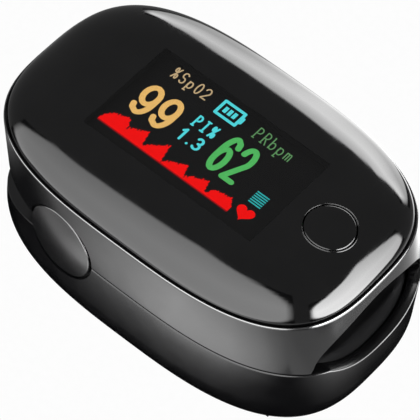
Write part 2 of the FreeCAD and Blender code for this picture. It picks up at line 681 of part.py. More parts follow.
def lower_housing():
    shell = lower_body(0, -PARTING_GAP, RESTING_LEVEL)
    shell = shell.cut(lower_body(WALL, 1.0, RESTING_LEVEL + BOTTOM_WALL))
    inner_parts = screw_pillars((-15.0, TRAY_FLANGE_LEVELS[0]))
    for side in (-1, 1):
        rail_y = sorted((side * RAIL_Y[0], side * RAIL_Y[1]))
        inner_parts.append(block((-FAR, FAR), rail_y, (RESTING_LEVEL, RAIL_TOP_LEVEL)))
    for x_range in bay_ends():
        inner_parts.append(block(x_range, (-12, 12), (RESTING_LEVEL, TRAY_LEVELS[0] - 0.05)))
    shell = shell.fuse([inside_lower(part, 0.5) for part in inner_parts])
    shell = shell.cut(trough_cutter((BODY_X, FAR))).cut(wedge_behind_hinge())
    shell = shell.fuse(lower_ears())
    opening_y = DOOR_HALF_WIDTH + DOOR_GAP
    opening_levels = (RESTING_LEVEL - 1, RESTING_LEVEL + BOTTOM_WALL + 0.3)
    opening = block((-FAR, DOOR_X[1] + DOOR_GAP), (-opening_y, opening_y), opening_levels)
    groove_y = TONGUE_Y[1] + DOOR_GAP
    groove_levels = (TONGUE_LEVELS[0] - 0.07, TONGUE_LEVELS[1] + 0.07)
    groove = block((-FAR, TONGUE_X[1] + DOOR_GAP), (-groove_y, groove_y), groove_levels)
    shell = shell.cut([opening, groove])
    pilot_levels = (TRAY_FLANGE_LEVELS[0] - 6, 0)
    shell = drilled(shell, mirrored_places(SCREW_PLACES), SCREW_RADIUS + PRESS_GAP, pilot_levels)
    shell = cut_for_caps(shell, 0).cut(bay_room())
    axle_y = LOWER_EAR_Y[1] + 0.5
    return shell.cut(crosswise(HINGE_X, 0, AXLE_RADIUS + PRESS_GAP, (-axle_y, axle_y)))


def bay_ends():
    """The x ranges of the two walls that close the battery bay."""
    return ((BAY_X[0] - BAY_END_WALL, BAY_X[0]), (BAY_X[1], BAY_X[1] + BAY_END_WALL))


def bay_room():
    """The space that the cells and their contacts take up."""
    room = [lengthwise(side * CELL_Y, CELL_LEVEL, CELL_RADIUS + 0.15, BAY_X) for side in (-1, 1)]
    contact_levels = (CONTACT_LEVELS[0] - 0.1, TRAY_LEVELS[0])
    return room + [block(BAY_X, (-CONTACT_Y[1] - 0.1, CONTACT_Y[1] + 0.1), contact_levels)]


def lower_ears():
    """Round ears that stand up from the side walls and hold the axle."""
    ears = []
    ear_x = (HINGE_X - EAR_RADIUS, HINGE_X + EAR_RADIUS)
    for side in (-1, 1):
        ear_y = sorted((side * LOWER_EAR_Y[0], side * LOWER_EAR_Y[1]))
        tie_y = sorted((side * (LOWER_EAR_Y[1] - 0.5), side * FAR))
        web = block(ear_x, ear_y, (EAR_FOOT_LEVEL, 0))
        tie = inside_lower(block(ear_x, tie_y, (EAR_FOOT_LEVEL, -2.4)), WALL / 2)
        ears += [crosswise(HINGE_X, 0, EAR_RADIUS, ear_y), web, tie]
    return ears


def lower_frame():
    """The tray under the lower pad, which also covers the batteries."""
    half_width = TRAY_HALF_WIDTH + TRAY_WALL
    back_x = CHAMBER_BACK_X - 0.6
    bay_cover = block((BAY_X[0] - BAY_END_WALL, back_x), (-half_width, half_width), TRAY_LEVELS)
    bay_cover = inside_lower(bay_cover, BAY_COVER_INSET)
    rim_levels = (TRAY_LEVELS[0], TRAY_FLANGE_LEVELS[1])
    walls = block((back_x, FAR), (-half_width, half_width), rim_levels)
    flange = block((back_x, FAR), (-FAR, FAR), TRAY_FLANGE_LEVELS)
    frame = walls.fuse(flange)
    pad_room = block((CHAMBER_BACK_X, FAR), (-TRAY_HALF_WIDTH, TRAY_HALF_WIDTH), (TRAY_LEVELS[1], 1))
    frame = inside_lower(frame.cut(pad_room), WALL + FIT).fuse(bay_cover)
    frame = frame.cut(block((SENSOR_X - 2.0, SENSOR_X + 2.0), (-1.8, 1.8), (-6, 0)))
    frame = frame.cut(block(CABLE_SLOT_X, (-2.2, 2.2), (-6, 0)))
    frame = drilled(frame, mirrored_places(SCREW_PLACES), SCREW_RADIUS + RUNNING_GAP, (-3, 0))
    head_room = (TRAY_FLANGE_LEVELS[1] - SCREW_HEAD_HEIGHT - 0.02, 0)
    return drilled(frame, mirrored_places(SCREW_PLACES), SCREW_HEAD_RADIUS + 0.1, head_room)


def lower_pad():
    """The silicone trough under the finger."""
    pad_half_width = TRAY_HALF_WIDTH - 0.1
    pad = block((CHAMBER_BACK_X + 0.1, FAR), (-pad_half_width, pad_half_width), (TRAY_LEVELS[1], -0.3))
    pad = pad.cut(trough_cutter((CHAMBER_BACK_X + 1.0, FAR)))
    return inside_lower(pad.cut(window_room((-6, 0))), WALL + 0.1)


def detector_flex():
    """The flexible strip in the valley between the cells, from the contacts to the cable."""
    x_range = (DETECTOR_FLEX_BACK_X, BAY_X[1] - CONTACT_THICKNESS - 0.1)
    return block(x_range, (-DETECTOR_FLEX_HALF_WIDTH, DETECTOR_FLEX_HALF_WIDTH), DETECTOR_FLEX_LEVELS)


def photodiode():
    half_length, half_width = PHOTODIODE_HALVES
    levels = (DETECTOR_FLEX_LEVELS[1], PHOTODIODE_TOP_LEVEL)
    return block((SENSOR_X - half_length, SENSOR_X + half_length), (-half_width, half_width), levels)


def jaw_cable():
    """The flat cable that crosses the hinge behind the axle."""
    points = [at(x, 0, level) for x, level in CABLE_BENDS]
    return strip_along(points, CABLE_HALF_WIDTH, CABLE_THICKNESS)


def aaa_cell(y, forwards):
    """A cell with its raised contact pointing forwards or backwards."""
    contact_faces = (BAY_X[0] + CONTACT_THICKNESS, BAY_X[1] - CONTACT_THICKNESS)
    heading = 1 if forwards else -1
    nub_end = (contact_faces[1] if forwards else contact_faces[0]) - heading * 0.02
    can_length = CELL_LENGTH - CELL_NUB_HEIGHT
    can_start = at(nub_end - heading * CELL_LENGTH, y, CELL_LEVEL)
    can = Part.makeCylinder(CELL_RADIUS, can_length, can_start, V(heading, 0, 0))
    can = can.makeFillet(0.5, [edge for edge in can.Edges if edge.Closed])
    nub_start = can_start + V(heading * can_length, 0, 0)
    nub = Part.makeCylinder(CELL_NUB_RADIUS, CELL_NUB_HEIGHT, nub_start, V(heading, 0, 0))
    return joined(can, nub)


def contact_bridge():
    """The rear plate, which joins the two cells in series."""
    x_range = (BAY_X[0], BAY_X[0] + CONTACT_THICKNESS)
    return block(x_range, (-CONTACT_Y[1], CONTACT_Y[1]), CONTACT_LEVELS)


def contact_plate(side):
    """One of the two front plates."""
    y_range = sorted((side * CONTACT_Y[0], side * CONTACT_Y[1]))
    return block((BAY_X[1] - CONTACT_THICKNESS, BAY_X[1]), y_range, CONTACT_LEVELS)


def half_turn_place(start, end, bulge, share):
    """A point on the half circle over a diameter, and the way the wire runs there."""
    centre = (start + end) * 0.5
    across = start - centre
    turn = math.pi * share
    point = centre + across * math.cos(turn) + bulge * (across.Length * math.sin(turn))
    heading = bulge * (across.Length * math.cos(turn)) - across * math.sin(turn)
    return point, heading.normalize()


def wire_arc(start, end, bulge, wire_radius, share_from=0, share_to=1):
    """Round wire along all or part of the half circle over a diameter."""
    centre = (start + end) * 0.5
    point, heading = half_turn_place(start, end, bulge, share_from)
    face = Part.Face(Part.Wire([Part.makeCircle(wire_radius, point, heading)]))
    return face.revolve(centre, (start - centre).cross(bulge), 180 * (share_to - share_from))


def contact_spring(y, plate_x, heading):
    """A conical coil from a contact plate to the flat end of a cell, as half turns of wire."""
    length = BAY_X[1] - BAY_X[0] - 2 * CONTACT_THICKNESS - CELL_LENGTH
    travel = length - 2 * CONTACT_WIRE_RADIUS - 0.1
    half_turns = 2 * CONTACT_TURNS
    ends = []
    for step in range(half_turns + 1):
        share = step / half_turns
        radius = CONTACT_COIL_RADII[0] + (CONTACT_COIL_RADII[1] - CONTACT_COIL_RADII[0]) * share
        x = plate_x + heading * (CONTACT_WIRE_RADIUS + 0.05 + travel * share)
        ends.append(at(x, y + radius * (-1) ** step, CELL_LEVEL))
    turns = []
    for step in range(half_turns):
        bulge = V(0, 0, (-1) ** step)
        turns.append(wire_arc(ends[step], ends[step + 1], bulge, CONTACT_WIRE_RADIUS))
    return joined(*turns)


def jaw_spring():
    """The left torsion spring: its legs push the rear ends of the jaws apart."""
    last_step = 2 * JAW_SPRING_TURNS + 1
    ends = []
    for step in range(last_step + 2):
        x = HINGE_X - JAW_SPRING_RADIUS * (-1) ** step
        ends.append(at(x, JAW_SPRING_START_Y + JAW_SPRING_PITCH / 2 * step, 0))
    first_share = (180 + LOWER_LEG_ANGLE) / 180
    last_share = UPPER_LEG_ANGLE / 180
    down, up = V(0, 0, -1), V(0, 0, 1)
    pieces = [wire_arc(ends[0], ends[1], down, JAW_WIRE_RADIUS, first_share, 1)]
    for step in range(1, last_step):
        bulge = up if step % 2 else down
        pieces.append(wire_arc(ends[step], ends[step + 1], bulge, JAW_WIRE_RADIUS))
    pieces.append(wire_arc(ends[last_step], ends[last_step + 1], up, JAW_WIRE_RADIUS, 0, last_share))
    leg_room = JAW_WIRE_RADIUS + RUNNING_GAP
    start, heading = half_turn_place(ends[0], ends[1], down, first_share)
    pieces.append(spring_leg(start, heading * -1, TRAY_LEVELS[1] + leg_room))
    start, heading = half_turn_place(ends[last_step], ends[last_step + 1], up, last_share)
    pieces.append(spring_leg(start, heading, ROOF_LEVELS[0] - leg_room))
    return joined(*pieces)


def spring_leg(start, heading, level):
    """A straight wire leg that stops at a level."""
    length = (PARTING_Z + level - start.z) / heading.z
    return Part.makeCylinder(JAW_WIRE_RADIUS, length, start, heading)


def hinge_axle():
    axle = crosswise(HINGE_X, 0, AXLE_RADIUS, (-PEG_END_Y + 0.1, PEG_END_Y - 0.1))
    return axle.makeChamfer(0.2, [edge for edge in axle.Edges if edge.Closed])


def pivot_cap(side):
    """The round cap over the hinge: a crowned disc with a peg that goes into the ear."""
    middle, outward = cap_frame(side)
    disc_height = CAP_THICKNESS + CAP_CROWN
    disc = Part.makeCylinder(CAP_RADIUS, disc_height + 1, middle - outward * CAP_THICKNESS, outward)
    crown_radius = (CAP_RADIUS ** 2 + CAP_CROWN ** 2) / (2 * CAP_CROWN)
    crown = Part.makeSphere(crown_radius, middle + outward * (CAP_CROWN - crown_radius))
    peg_outer = abs(middle.y) - CAP_THICKNESS + 0.2
    peg = crosswise(HINGE_X, 0, AXLE_RADIUS, sorted((side * PEG_END_Y, side * peg_outer)))
    return joined(disc.common(crown), peg)


def battery_door():
    """The sliding cover of the battery bay, with tongues along both sides and a finger grip."""
    half_width = DOOR_HALF_WIDTH
    plate_space = block(DOOR_X, (-half_width, half_width), (RESTING_LEVEL - 1, DOOR_TOP_LEVEL))
    door = lower_body(0, -PARTING_GAP, RESTING_LEVEL).common(plate_space)
    tongue = block(TONGUE_X, TONGUE_Y, TONGUE_LEVELS)
    door = door.fuse([tongue, mirrored(tongue)])
    grooves = []
    for step in range(GRIP_COUNT):
        x = GRIP_START_X - GRIP_PITCH * step
        grooves.append(crosswise(x, RESTING_LEVEL - 0.3, 0.6, (-GRIP_HALF_WIDTH, GRIP_HALF_WIDTH)))
    return door.cut(grooves)


# ------------------------------------------------------------------------------ writing

def all_pieces():
    """Every node of the assembly, by name."""
    rear_contact_x = BAY_X[0] + CONTACT_THICKNESS
    front_contact_x = BAY_X[1] - CONTACT_THICKNESS
    left_spring = jaw_spring()
    return {
        "upper_housing": upper_housing(),
        "display_lens": display_lens(),
        "display_panel": display_panel(),
        "display_holder": display_holder(),
        "display_ribbon": display_ribbon(),
        "main_board": main_board(),
        "board_screws": board_screws(),
        "controller_chip": controller_chip(),
        "buzzer": buzzer(),
        "support_chips": support_chips(),
        "board_capacitors": board_capacitors(),
        "switch_base": switch_base(),
        "switch_plunger": switch_plunger(),
        "power_button": power_button(),
        "upper_frame": upper_frame(),
        "upper_frame_screws": frame_screws(FLANGE_LEVELS[0], 1),
        "upper_pad": upper_pad(),
        "emitter_board": emitter_board(),
        "emitter_leds": emitter_leds(),
        "emitter_window": sensor_window(EMITTER_WINDOW_LEVELS),
        "lower_housing": lower_housing(),
        "lower_frame": lower_frame(),
        "lower_frame_screws": frame_screws(TRAY_FLANGE_LEVELS[1], -1),
        "lower_pad": lower_pad(),
        "detector_flex": detector_flex(),
        "photodiode": photodiode(),
        "detector_window": sensor_window(DETECTOR_WINDOW_LEVELS),
        "jaw_cable": jaw_cable(),
        "battery_right": aaa_cell(-CELL_Y, True),
        "battery_left": aaa_cell(CELL_Y, False),
        "contact_bridge": contact_bridge(),
        "contact_plate_right": contact_plate(-1),
        "contact_plate_left": contact_plate(1),
        "contact_spring_rear": contact_spring(-CELL_Y, rear_contact_x, 1),
        "contact_spring_front": contact_spring(CELL_Y, front_contact_x, -1),
        "hinge_axle": hinge_axle(),
        "jaw_spring_left": left_spring,
        "jaw_spring_right": mirrored(left_spring),
        "pivot_cap_right": pivot_cap(-1),
        "pivot_cap_left": pivot_cap(1),
        "battery_door": battery_door(),
    }


os.makedirs("parts", exist_ok=True)
for name, shape in all_pieces().items():
    shape.exportStep(f"parts/{name}.step")
    print(name, "solids", len(shape.Solids), "valid", shape.isValid(), "volume", round(shape.Volume, 1))
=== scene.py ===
import json
import math

import bmesh
import bpy
from mathutils import Matrix, Vector


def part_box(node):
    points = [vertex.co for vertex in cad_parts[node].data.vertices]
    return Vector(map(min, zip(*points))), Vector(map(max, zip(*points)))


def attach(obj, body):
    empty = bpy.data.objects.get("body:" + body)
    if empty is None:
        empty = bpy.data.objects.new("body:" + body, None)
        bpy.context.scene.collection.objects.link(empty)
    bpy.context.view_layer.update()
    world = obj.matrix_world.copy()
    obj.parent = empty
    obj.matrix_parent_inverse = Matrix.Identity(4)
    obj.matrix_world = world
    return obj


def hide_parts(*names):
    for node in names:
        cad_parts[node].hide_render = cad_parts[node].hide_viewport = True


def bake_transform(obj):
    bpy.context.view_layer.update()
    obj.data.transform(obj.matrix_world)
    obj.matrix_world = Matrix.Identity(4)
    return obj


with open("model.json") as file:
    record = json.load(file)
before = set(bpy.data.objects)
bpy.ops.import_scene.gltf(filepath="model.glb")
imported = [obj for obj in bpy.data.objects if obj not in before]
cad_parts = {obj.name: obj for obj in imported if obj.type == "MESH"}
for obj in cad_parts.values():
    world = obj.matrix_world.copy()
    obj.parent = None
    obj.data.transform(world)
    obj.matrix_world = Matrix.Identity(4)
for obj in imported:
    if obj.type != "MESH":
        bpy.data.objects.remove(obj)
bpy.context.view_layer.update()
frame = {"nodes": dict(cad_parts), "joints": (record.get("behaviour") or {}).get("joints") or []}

# Looks of the fingertip pulse oximeter.  The glossy shells, lens, caps, pads, springs and
# cable are fine meshes that stand for their CAD nodes; the other nodes keep their shape and
# get a material.  Lengths in the mesh code are millimetres, turned to metres in new_piece.

MM = 0.001


def box_mm(node):
    """Lowest and highest corner of a CAD node, in mm."""
    low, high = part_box(node)
    return Vector(low) / MM, Vector(high) / MM


# ------------------------------------------------------- sizes worked out from the frame

HINGE = Vector(next(j for j in frame["joints"] if j["name"] == "jaw_hinge")["pos_m"]) / MM
PARTING = HINGE.z
BODY_LOW, BODY_HIGH = box_mm("lower_housing")
LENS_LOW, LENS_HIGH = box_mm("display_lens")
PANEL_LOW, PANEL_HIGH = box_mm("display_panel")
BUTTON_LOW, BUTTON_HIGH = box_mm("power_button")
DOOR_LOW, DOOR_HIGH = box_mm("battery_door")
TRAY_LOW, _ = box_mm("lower_frame")
UPPER_PAD_LOW, _ = box_mm("upper_pad")
LOWER_PAD_LOW, LOWER_PAD_HIGH = box_mm("lower_pad")
CHAMBER_WINDOW_LOW, CHAMBER_WINDOW_HIGH = box_mm("emitter_window")

RIM_LEVEL = box_mm("upper_housing")[1].z - PARTING
BOTTOM = -PARTING           # like every level, a height over the parting plane
LENS_INSET = 0.45           # from the rim's outline to the lens's
BODY = {"x": (BODY_LOW.x + BODY_HIGH.x) / 2, "length": (BODY_HIGH.x - BODY_LOW.x) / 2,
        "width": 19.2, "power": 2.9}
RIM = {"x": (LENS_LOW.x + LENS_HIGH.x) / 2, "length": (LENS_HIGH.x - LENS_LOW.x) / 2 + LENS_INSET,
       "width": (LENS_HIGH.y - LENS_LOW.y) / 2 + LENS_INSET, "power": 3.05}
WALL = 1.6
PARTING_GAP = 0.1
LIP = 0.2                   # rounding of the housings' edges
BOTTOM_ROUNDING = 9.4
BOTTOM_WALL = 1.45
WEDGE_SLOPE = math.tan(math.radians(22.5))
MOUTH_HALF_WIDTH = 11.8
ARCH_HEIGHT = 7.4
TROUGH_DEPTH = 2.5
TROUGH_RADIUS = 21.25
LENS_EDGE = 9.3
LENS_TOP = LENS_HIGH.z - PARTING
LENS_ROLL_OFF = 8.1
LENS_WALL = 1.4
SEAT_LEVEL = 8.3
SEAT_INSET = 0.32
RIM_BEAD = 0.11             # radius of the bead round the rim
CAP_RADIUS = 5.75
CAP_GROOVE = 0.42           # seen gap round a pivot cap
BUTTON_X = (BUTTON_LOW.x + BUTTON_HIGH.x) / 2
BUTTON_RADIUS = (BUTTON_HIGH.x - BUTTON_LOW.x) / 2
BUTTON_HOLE_RADIUS = BUTTON_RADIUS + 0.15
# rows up a wall; the first and last lie close to the roundings and keep the wall flat
WALL_SHARES = (0.008, 0.12, 0.25, 0.38, 0.5, 0.62, 0.75, 0.88, 0.992)
DOOR_GAP = 0.1
DOOR_HEADROOM = 0.25
DOOR_HALF_WIDTH = DOOR_HIGH.y - 1.0     # without the tongues
DOOR_TOP = PARTING - 15.75
PAD_WALL = 1.1
PAD_STEPS = 90
FAR, CLEAR = 60.0, 5.0      # cutting blocks reach this far beyond what they cut
SIDES = (-1, 1)
ACROSS, UPWARD = Vector((0, 1, 0)), Vector((0, 0, 1))

# pairs of colours that a mottled surface lies between
GLOSS_BLACK = (0.0035, 0.0035, 0.0037), (0.0045, 0.0045, 0.0047)
POLYIMIDE = (0.30, 0.10, 0.02), (0.40, 0.15, 0.03)


def camera_pose():
    """The camera's place and its right, up and backward directions."""
    azimuth, elevation, roll = math.radians(33.14), math.radians(54.12), math.radians(8.01)
    distance, shift_right, shift_up = 450.3, 0.538, 0.146
    focus = Vector((0.45, 0, PARTING))
    level = math.cos(elevation)
    back = Vector((math.sin(azimuth) * level, -math.cos(azimuth) * level, math.sin(elevation)))
    right = Vector((math.cos(azimuth), math.sin(azimuth), 0))
    up = back.cross(right)
    tilted_right = right * math.cos(roll) + up * math.sin(roll)
    tilted_up = up * math.cos(roll) - right * math.sin(roll)
    place = focus + back * distance - tilted_right * shift_right - tilted_up * shift_up
    return place, (tilted_right, tilted_up, back)


CAMERA_PLACE, CAMERA_AXES = camera_pose()


# -------------------------------------------------------------------------- node helpers

class Graph:
    """A node tree, with short calls that add nodes and link them."""

    def __init__(self, tree):
        self.tree = tree

    def fill(self, node, inputs):
        """Sets a node's inputs, each to a value or to another node's output."""
        for name, value in inputs.items():
            if isinstance(value, bpy.types.NodeSocket):
                self.tree.links.new(value, node.inputs[name])
            else:
                node.inputs[name].default_value = value

    def add(self, kind, inputs=None, **settings):
        """A new node with its settings and inputs."""
        node = self.tree.nodes.new("ShaderNode" + kind)
        for name, value in settings.items():
            setattr(node, name, value)
        self.fill(node, inputs or {})
        return node

    def math(self, operation, *values):
        return self.add("Math", dict(enumerate(values)), operation=operation).outputs[0]

    def place(self):
        """The place on the object, in its own axes."""
        return self.add("TexCoord").outputs["Object"]

    def axes(self):
        """The place on the object as separate X, Y and Z."""
        return self.add("SeparateXYZ", {"Vector": self.place()}).outputs

    def surface(self, shader_output):
        """Makes a shader the material's surface."""
        self.fill(self.tree.nodes["Material Output"], {"Surface": shader_output})


def new_material(name):
    """A node material, its graph and its Principled shader."""
    material = bpy.data.materials.new(name)
    material.use_nodes = True
    return material, Graph(material.node_tree), principled(material)


def principled(material):
    return material.node_tree.nodes["Principled BSDF"]


def new_glow(name):
    """A material of pure light, its graph and its emission node."""
    material, graph, shader = new_material(name)
    material.node_tree.nodes.remove(shader)
    glow = graph.add("Emission")
    graph.surface(glow.outputs["Emission"])
    return material, graph, glow


def noise(graph, scale, detail, stretch=(1, 1, 1)):
    """A noise texture in object space, with its scale in features per metre."""
    mapping = graph.add("Mapping", {"Scale": stretch, "Vector": graph.place()})
    inputs = {"Scale": scale, "Detail": detail, "Vector": mapping.outputs["Vector"]}
    return graph.add("TexNoise", inputs).outputs["Fac"]


def spread(graph, value, low, high):
    """Maps 0.3 to 0.7, where most noise lies, onto a range."""
    inputs = {"From Min": 0.3, "From Max": 0.7, "To Min": low, "To Max": high, "Value": value}
    return graph.add("MapRange", inputs).outputs["Result"]


def tinted(graph, value, dark, light):
    """A colour between two, chosen by a value."""
    inputs = {"A": (*dark, 1), "B": (*light, 1), "Factor": value}
    return graph.add("Mix", inputs, data_type="RGBA").outputs["Result"]


def mottled(graph, marks, dark, light):
    """A colour that follows a noise."""
    return tinted(graph, spread(graph, marks, 0, 1), dark, light)


def add_bump(graph, shader, height, distance, strength):
    """Fine relief, its depth in metres."""
    bump = graph.add("Bump", {"Distance": distance, "Strength": strength, "Height": height})
    graph.fill(shader, {"Normal": bump.outputs["Normal"]})


def moulded(name, dark, light, roughness, ior=1.5, grain=0.0):
    """Moulded plastic: slight colour variation, handling marks and a grain or an orange peel."""
    material, graph, shader = new_material(name)
    clouds = noise(graph, 220, 4)
    smears = noise(graph, 420, 6, (1.0, 0.45, 1.0))
    graph.fill(shader, {"Base Color": mottled(graph, clouds, dark, light),
                        "Roughness": spread(graph, smears, *roughness), "IOR": ior})
    peel = noise(graph, 2600, 2)
    add_bump(graph, shader, peel, 0.00002 + grain * MM, 0.25 if grain else 0.04)
    return material


def metal(name, dark, light, roughness, stretch=(1, 1, 12)):
    """Drawn or stamped metal with fine marks along one direction."""
    material, graph, shader = new_material(name)
    marks = noise(graph, 900, 5, stretch)
    graph.fill(shader, {"Metallic": 1.0, "Base Color": mottled(graph, marks, dark, light),
                        "Roughness": spread(graph, marks, *roughness)})
    add_bump(graph, shader, marks, 0.00002, 0.15)
    return material


def glowing(name, colour):
    """Lit display pixels: a fine grid of dark gaps crosses the colour."""
    material, graph, glow = new_glow(name)
    inputs = {"Scale": 1 / (0.21 * MM), "Brick Width": 1.0, "Row Height": 1.0,
              "Mortar Size": 0.06, "Mortar Smooth": 0.3, "Vector": graph.place()}
    for part, share in (("Color1", 1.0), ("Color2", 0.92), ("Mortar", 0.45)):
        inputs[part] = (*[level * share for level in colour], 1)
    graph.fill(glow, {"Color": graph.add("TexBrick", inputs, offset=0.0).outputs["Color"]})
    return material


def smoked_lens():
    """Polished black lens: clear and dark over the display, printed black round it."""
    material = moulded("smoked_lens", *GLOSS_BLACK, (0.05, 0.09))
    graph = Graph(material.node_tree)
    tint = graph.add("BsdfTransparent", {"Color": (0.95, 0.95, 0.95, 1)})
    shine = graph.add("BsdfGlossy", {"Roughness": 0.06, "Color": (0.9, 0.9, 0.9, 1)})
    fresnel = graph.add("Fresnel", {"IOR": 1.5})
    outer = graph.math("SUBTRACT", 1.0, graph.add("NewGeometry").outputs["Backfacing"])
    shown = graph.math("MULTIPLY", fresnel.outputs["Fac"], outer)
    clear = graph.add("MixShader", {"Fac": shown, 1: tint.outputs["BSDF"], 2: shine.outputs["BSDF"]})
    whole = graph.add("MixShader", {"Fac": window_mask(graph), 1: principled(material).outputs["BSDF"],
                                    2: clear.outputs["Shader"]})
    graph.surface(whole.outputs["Shader"])
    return material


def window_mask(graph):
    """1 over the display's window and 0 elsewhere."""
    axes = graph.axes()
    inside = 1.0
    for axis, low, high in (("X", PANEL_LOW.x + 3.6, PANEL_HIGH.x - 0.8),
                            ("Y", PANEL_LOW.y + 0.4, PANEL_HIGH.y - 1.3)):
        for limit, operation in ((low, "GREATER_THAN"), (high, "LESS_THAN")):
            inside = graph.math("MULTIPLY", inside, graph.math(operation, axes[axis], limit * MM))
    return inside


def cell_sleeve(name, cell, positive_end):
    """Printed sleeve of a cell: dark grey, a copper band at one end and bare steel at both ends."""
    material, graph, shader = new_material(name)
    low, high = box_mm(cell)
    start, stop = (low.x, high.x) if positive_end == "front" else (high.x, low.x)
    along = graph.add("MapRange", {"From Min": start * MM, "From Max": stop * MM, "Value": graph.axes()["X"]})
    steel, sleeve, copper = (0.6, 0.6, 0.6), (0.035, 0.036, 0.04), (0.62, 0.27, 0.10)
    stops = [(0.0, steel), (0.012, sleeve), (0.72, copper), (0.972, steel)]
    bands = graph.add("ValToRGB", {"Fac": along.outputs["Result"]})
    ramp = bands.color_ramp
    ramp.interpolation = "CONSTANT"
    ramp.elements[1].position = stops[1][0]
    for position, _ in stops[2:]:
        ramp.elements.new(position)
    for element, (_, colour) in zip(ramp.elements, stops):
        element.color = (*colour, 1)
    scuffs = noise(graph, 700, 5)
    graph.fill(shader, {"Base Color": bands.outputs["Color"], "Metallic": 0.8,
                        "Roughness": spread(graph, scuffs, 0.2, 0.4)})
    return material


# ------------------------------------------------------------------------- mesh helpers

def new_piece(name, points, faces, material):
    """An object in the scene from points in mm."""
    mesh = bpy.data.meshes.new(name)
    mesh.from_pydata([Vector(point) * MM for point in points], [], faces)
    mesh.validate()
    mesh.materials.append(material)
    piece = bpy.data.objects.new(name, mesh)
    bpy.context.scene.collection.objects.link(piece)
    return piece


def add_mesh(name, points, faces, material):
    """A solid piece of the object, its faces turned outward and shaded smooth."""
    piece = new_piece(name, points, faces, material)
    turn_outward(piece.data)
    smooth(piece.data)
    return piece


def finish_piece(piece, body=None, node=None):
    """Attaches a piece to the body that it rides on and hides the CAD node that it stands for."""
    if body:
        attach(piece, body)
    if node:
        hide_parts(node)


def turn_outward(mesh):
    work = bmesh.new()
    work.from_mesh(mesh)
    bmesh.ops.recalc_face_normals(work, faces=work.faces)
    work.to_mesh(mesh)
    work.free()


def smooth(mesh, angle=32.0):
    """Smooth shading with edges sharper than an angle kept crisp."""
    mesh.shade_smooth()
    mesh.set_sharp_from_angle(angle=math.radians(angle))


def loft(rows, closed=False, cap_start=False, cap_end=False):
    """Points and faces through rows of equal length; each row is a closed loop."""
    width = len(rows[0])
    points = [point for row in rows for point in row]
    faces = []
    pairs = [(k, k + 1) for k in range(len(rows) - 1)]
    if closed:
        pairs.append((len(rows) - 1, 0))
    for first, second in pairs:
        for column in range(width):
            after = (column + 1) % width
            faces.append((first * width + column, first * width + after,
                          second * width + after, second * width + column))
    for wanted, row in ((cap_start, 0), (cap_end, len(rows) - 1)):
        if wanted:
            middle = sum((Vector(point) for point in rows[row]), Vector()) / width
            points.append(middle)
            for column in range(width):
                faces.append((row * width + column, row * width + (column + 1) % width, len(points) - 1))
    return points, faces


def thick_sheet(top, bottom):
    """A closed solid between two grids of points of the same size."""
    rows, columns = len(top), len(top[0])
    points = [point for grid in (top, bottom) for row in grid for point in row]

    def index(side, row, column):
        return side * rows * columns + row * columns + column

    faces = []
    for side in (0, 1):
        for row in range(rows - 1):
            for column in range(columns - 1):
                faces.append((index(side, row, column), index(side, row, column + 1),
                              index(side, row + 1, column + 1), index(side, row + 1, column)))
    for row in (0, rows - 1):
        for column in range(columns - 1):
            faces.append((index(0, row, column), index(0, row, column + 1),
                          index(1, row, column + 1), index(1, row, column)))
    for column in (0, columns - 1):
        for row in range(rows - 1):
            faces.append((index(0, row, column), index(0, row + 1, column),
                          index(1, row + 1, column), index(1, row, column)))
    return points, faces


def round_turns(steps):
    """Evenly spaced angles over a full turn."""
    return [2 * math.pi * step / steps for step in range(steps)]


def revolve(profile, middle, axis, steps):
    """Points and faces of a solid turned from (radius, height) pairs about an axis."""
    side = axis.orthogonal().normalized()
    other = axis.cross(side)
    rows = []
    for radius, height in profile:
        centre = middle + axis * height
        rows.append([centre + (side * math.cos(turn) + other * math.sin(turn)) * radius
                     for turn in round_turns(steps)])
    return loft(rows, cap_start=True, cap_end=True)


def block_points(low, high):
    """Points and faces of a box."""
    outline = ((low[0], low[1]), (high[0], low[1]), (high[0], high[1]), (low[0], high[1]))
    points = [(x, y, level) for level in (low[2], high[2]) for x, y in outline]
    sides = [(k, (k + 1) % 4, (k + 1) % 4 + 4, k + 4) for k in range(4)]
    return points, [(3, 2, 1, 0), (4, 5, 6, 7)] + sides


def apply_modifiers(piece):
    """Bakes a piece's modifiers into its mesh."""
    bpy.context.view_layer.update()
    graph = bpy.context.evaluated_depsgraph_get()
    mesh = bpy.data.meshes.new_from_object(piece.evaluated_get(graph))
    piece.modifiers.clear()
    old = piece.data
    piece.data = mesh
    bpy.data.meshes.remove(old)


def combine(piece, tool_points, tool_faces, operation="DIFFERENCE"):
    """Cuts a solid out of a piece, or keeps or adds it, then removes the tool."""
    tool = add_mesh(piece.name + "_tool", tool_points, tool_faces, piece.data.materials[0])
    change = piece.modifiers.new("shape", "BOOLEAN")
    change.operation = operation
    change.solver = "EXACT"
    change.object = tool
    apply_modifiers(piece)
    mesh = tool.data
    bpy.data.objects.remove(tool)
    bpy.data.meshes.remove(mesh)
    smooth(piece.data)


def soften(piece, width, angle=40.0):
    """Rounds a piece's sharp edges."""
    bevel = piece.modifiers.new("rounding", "BEVEL")
    bevel.width = width * MM
    bevel.segments = 2
    bevel.limit_method = "ANGLE"
    bevel.angle_limit = math.radians(angle)
    apply_modifiers(piece)


# ----------------------------------------------------------------- the housings' outlines

def on_outline(shape, turn, inset):
    """A point of a superellipse outline, drawn in by an inset."""
    across, along = math.cos(turn), math.sin(turn)
    reach = (abs(across) ** shape["power"] + abs(along) ** shape["power"]) ** (-1 / shape["power"])
    return shape["x"] + (shape["length"] - inset) * reach * across, (shape["width"] - inset) * reach * along


def body_shape(level):
    """The housings' outline at a level over the parting plane."""
    rise = max(0.0, min(level / RIM_LEVEL, 1.1))
    return {key: BODY[key] + (RIM[key] - BODY[key]) * rise for key in BODY}


def body_point(turn, inset, level):
    """A point of the housings' wall, drawn in by an inset."""
    x, y = on_outline(body_shape(level), turn, inset)
    return Vector((x, y, PARTING + level))


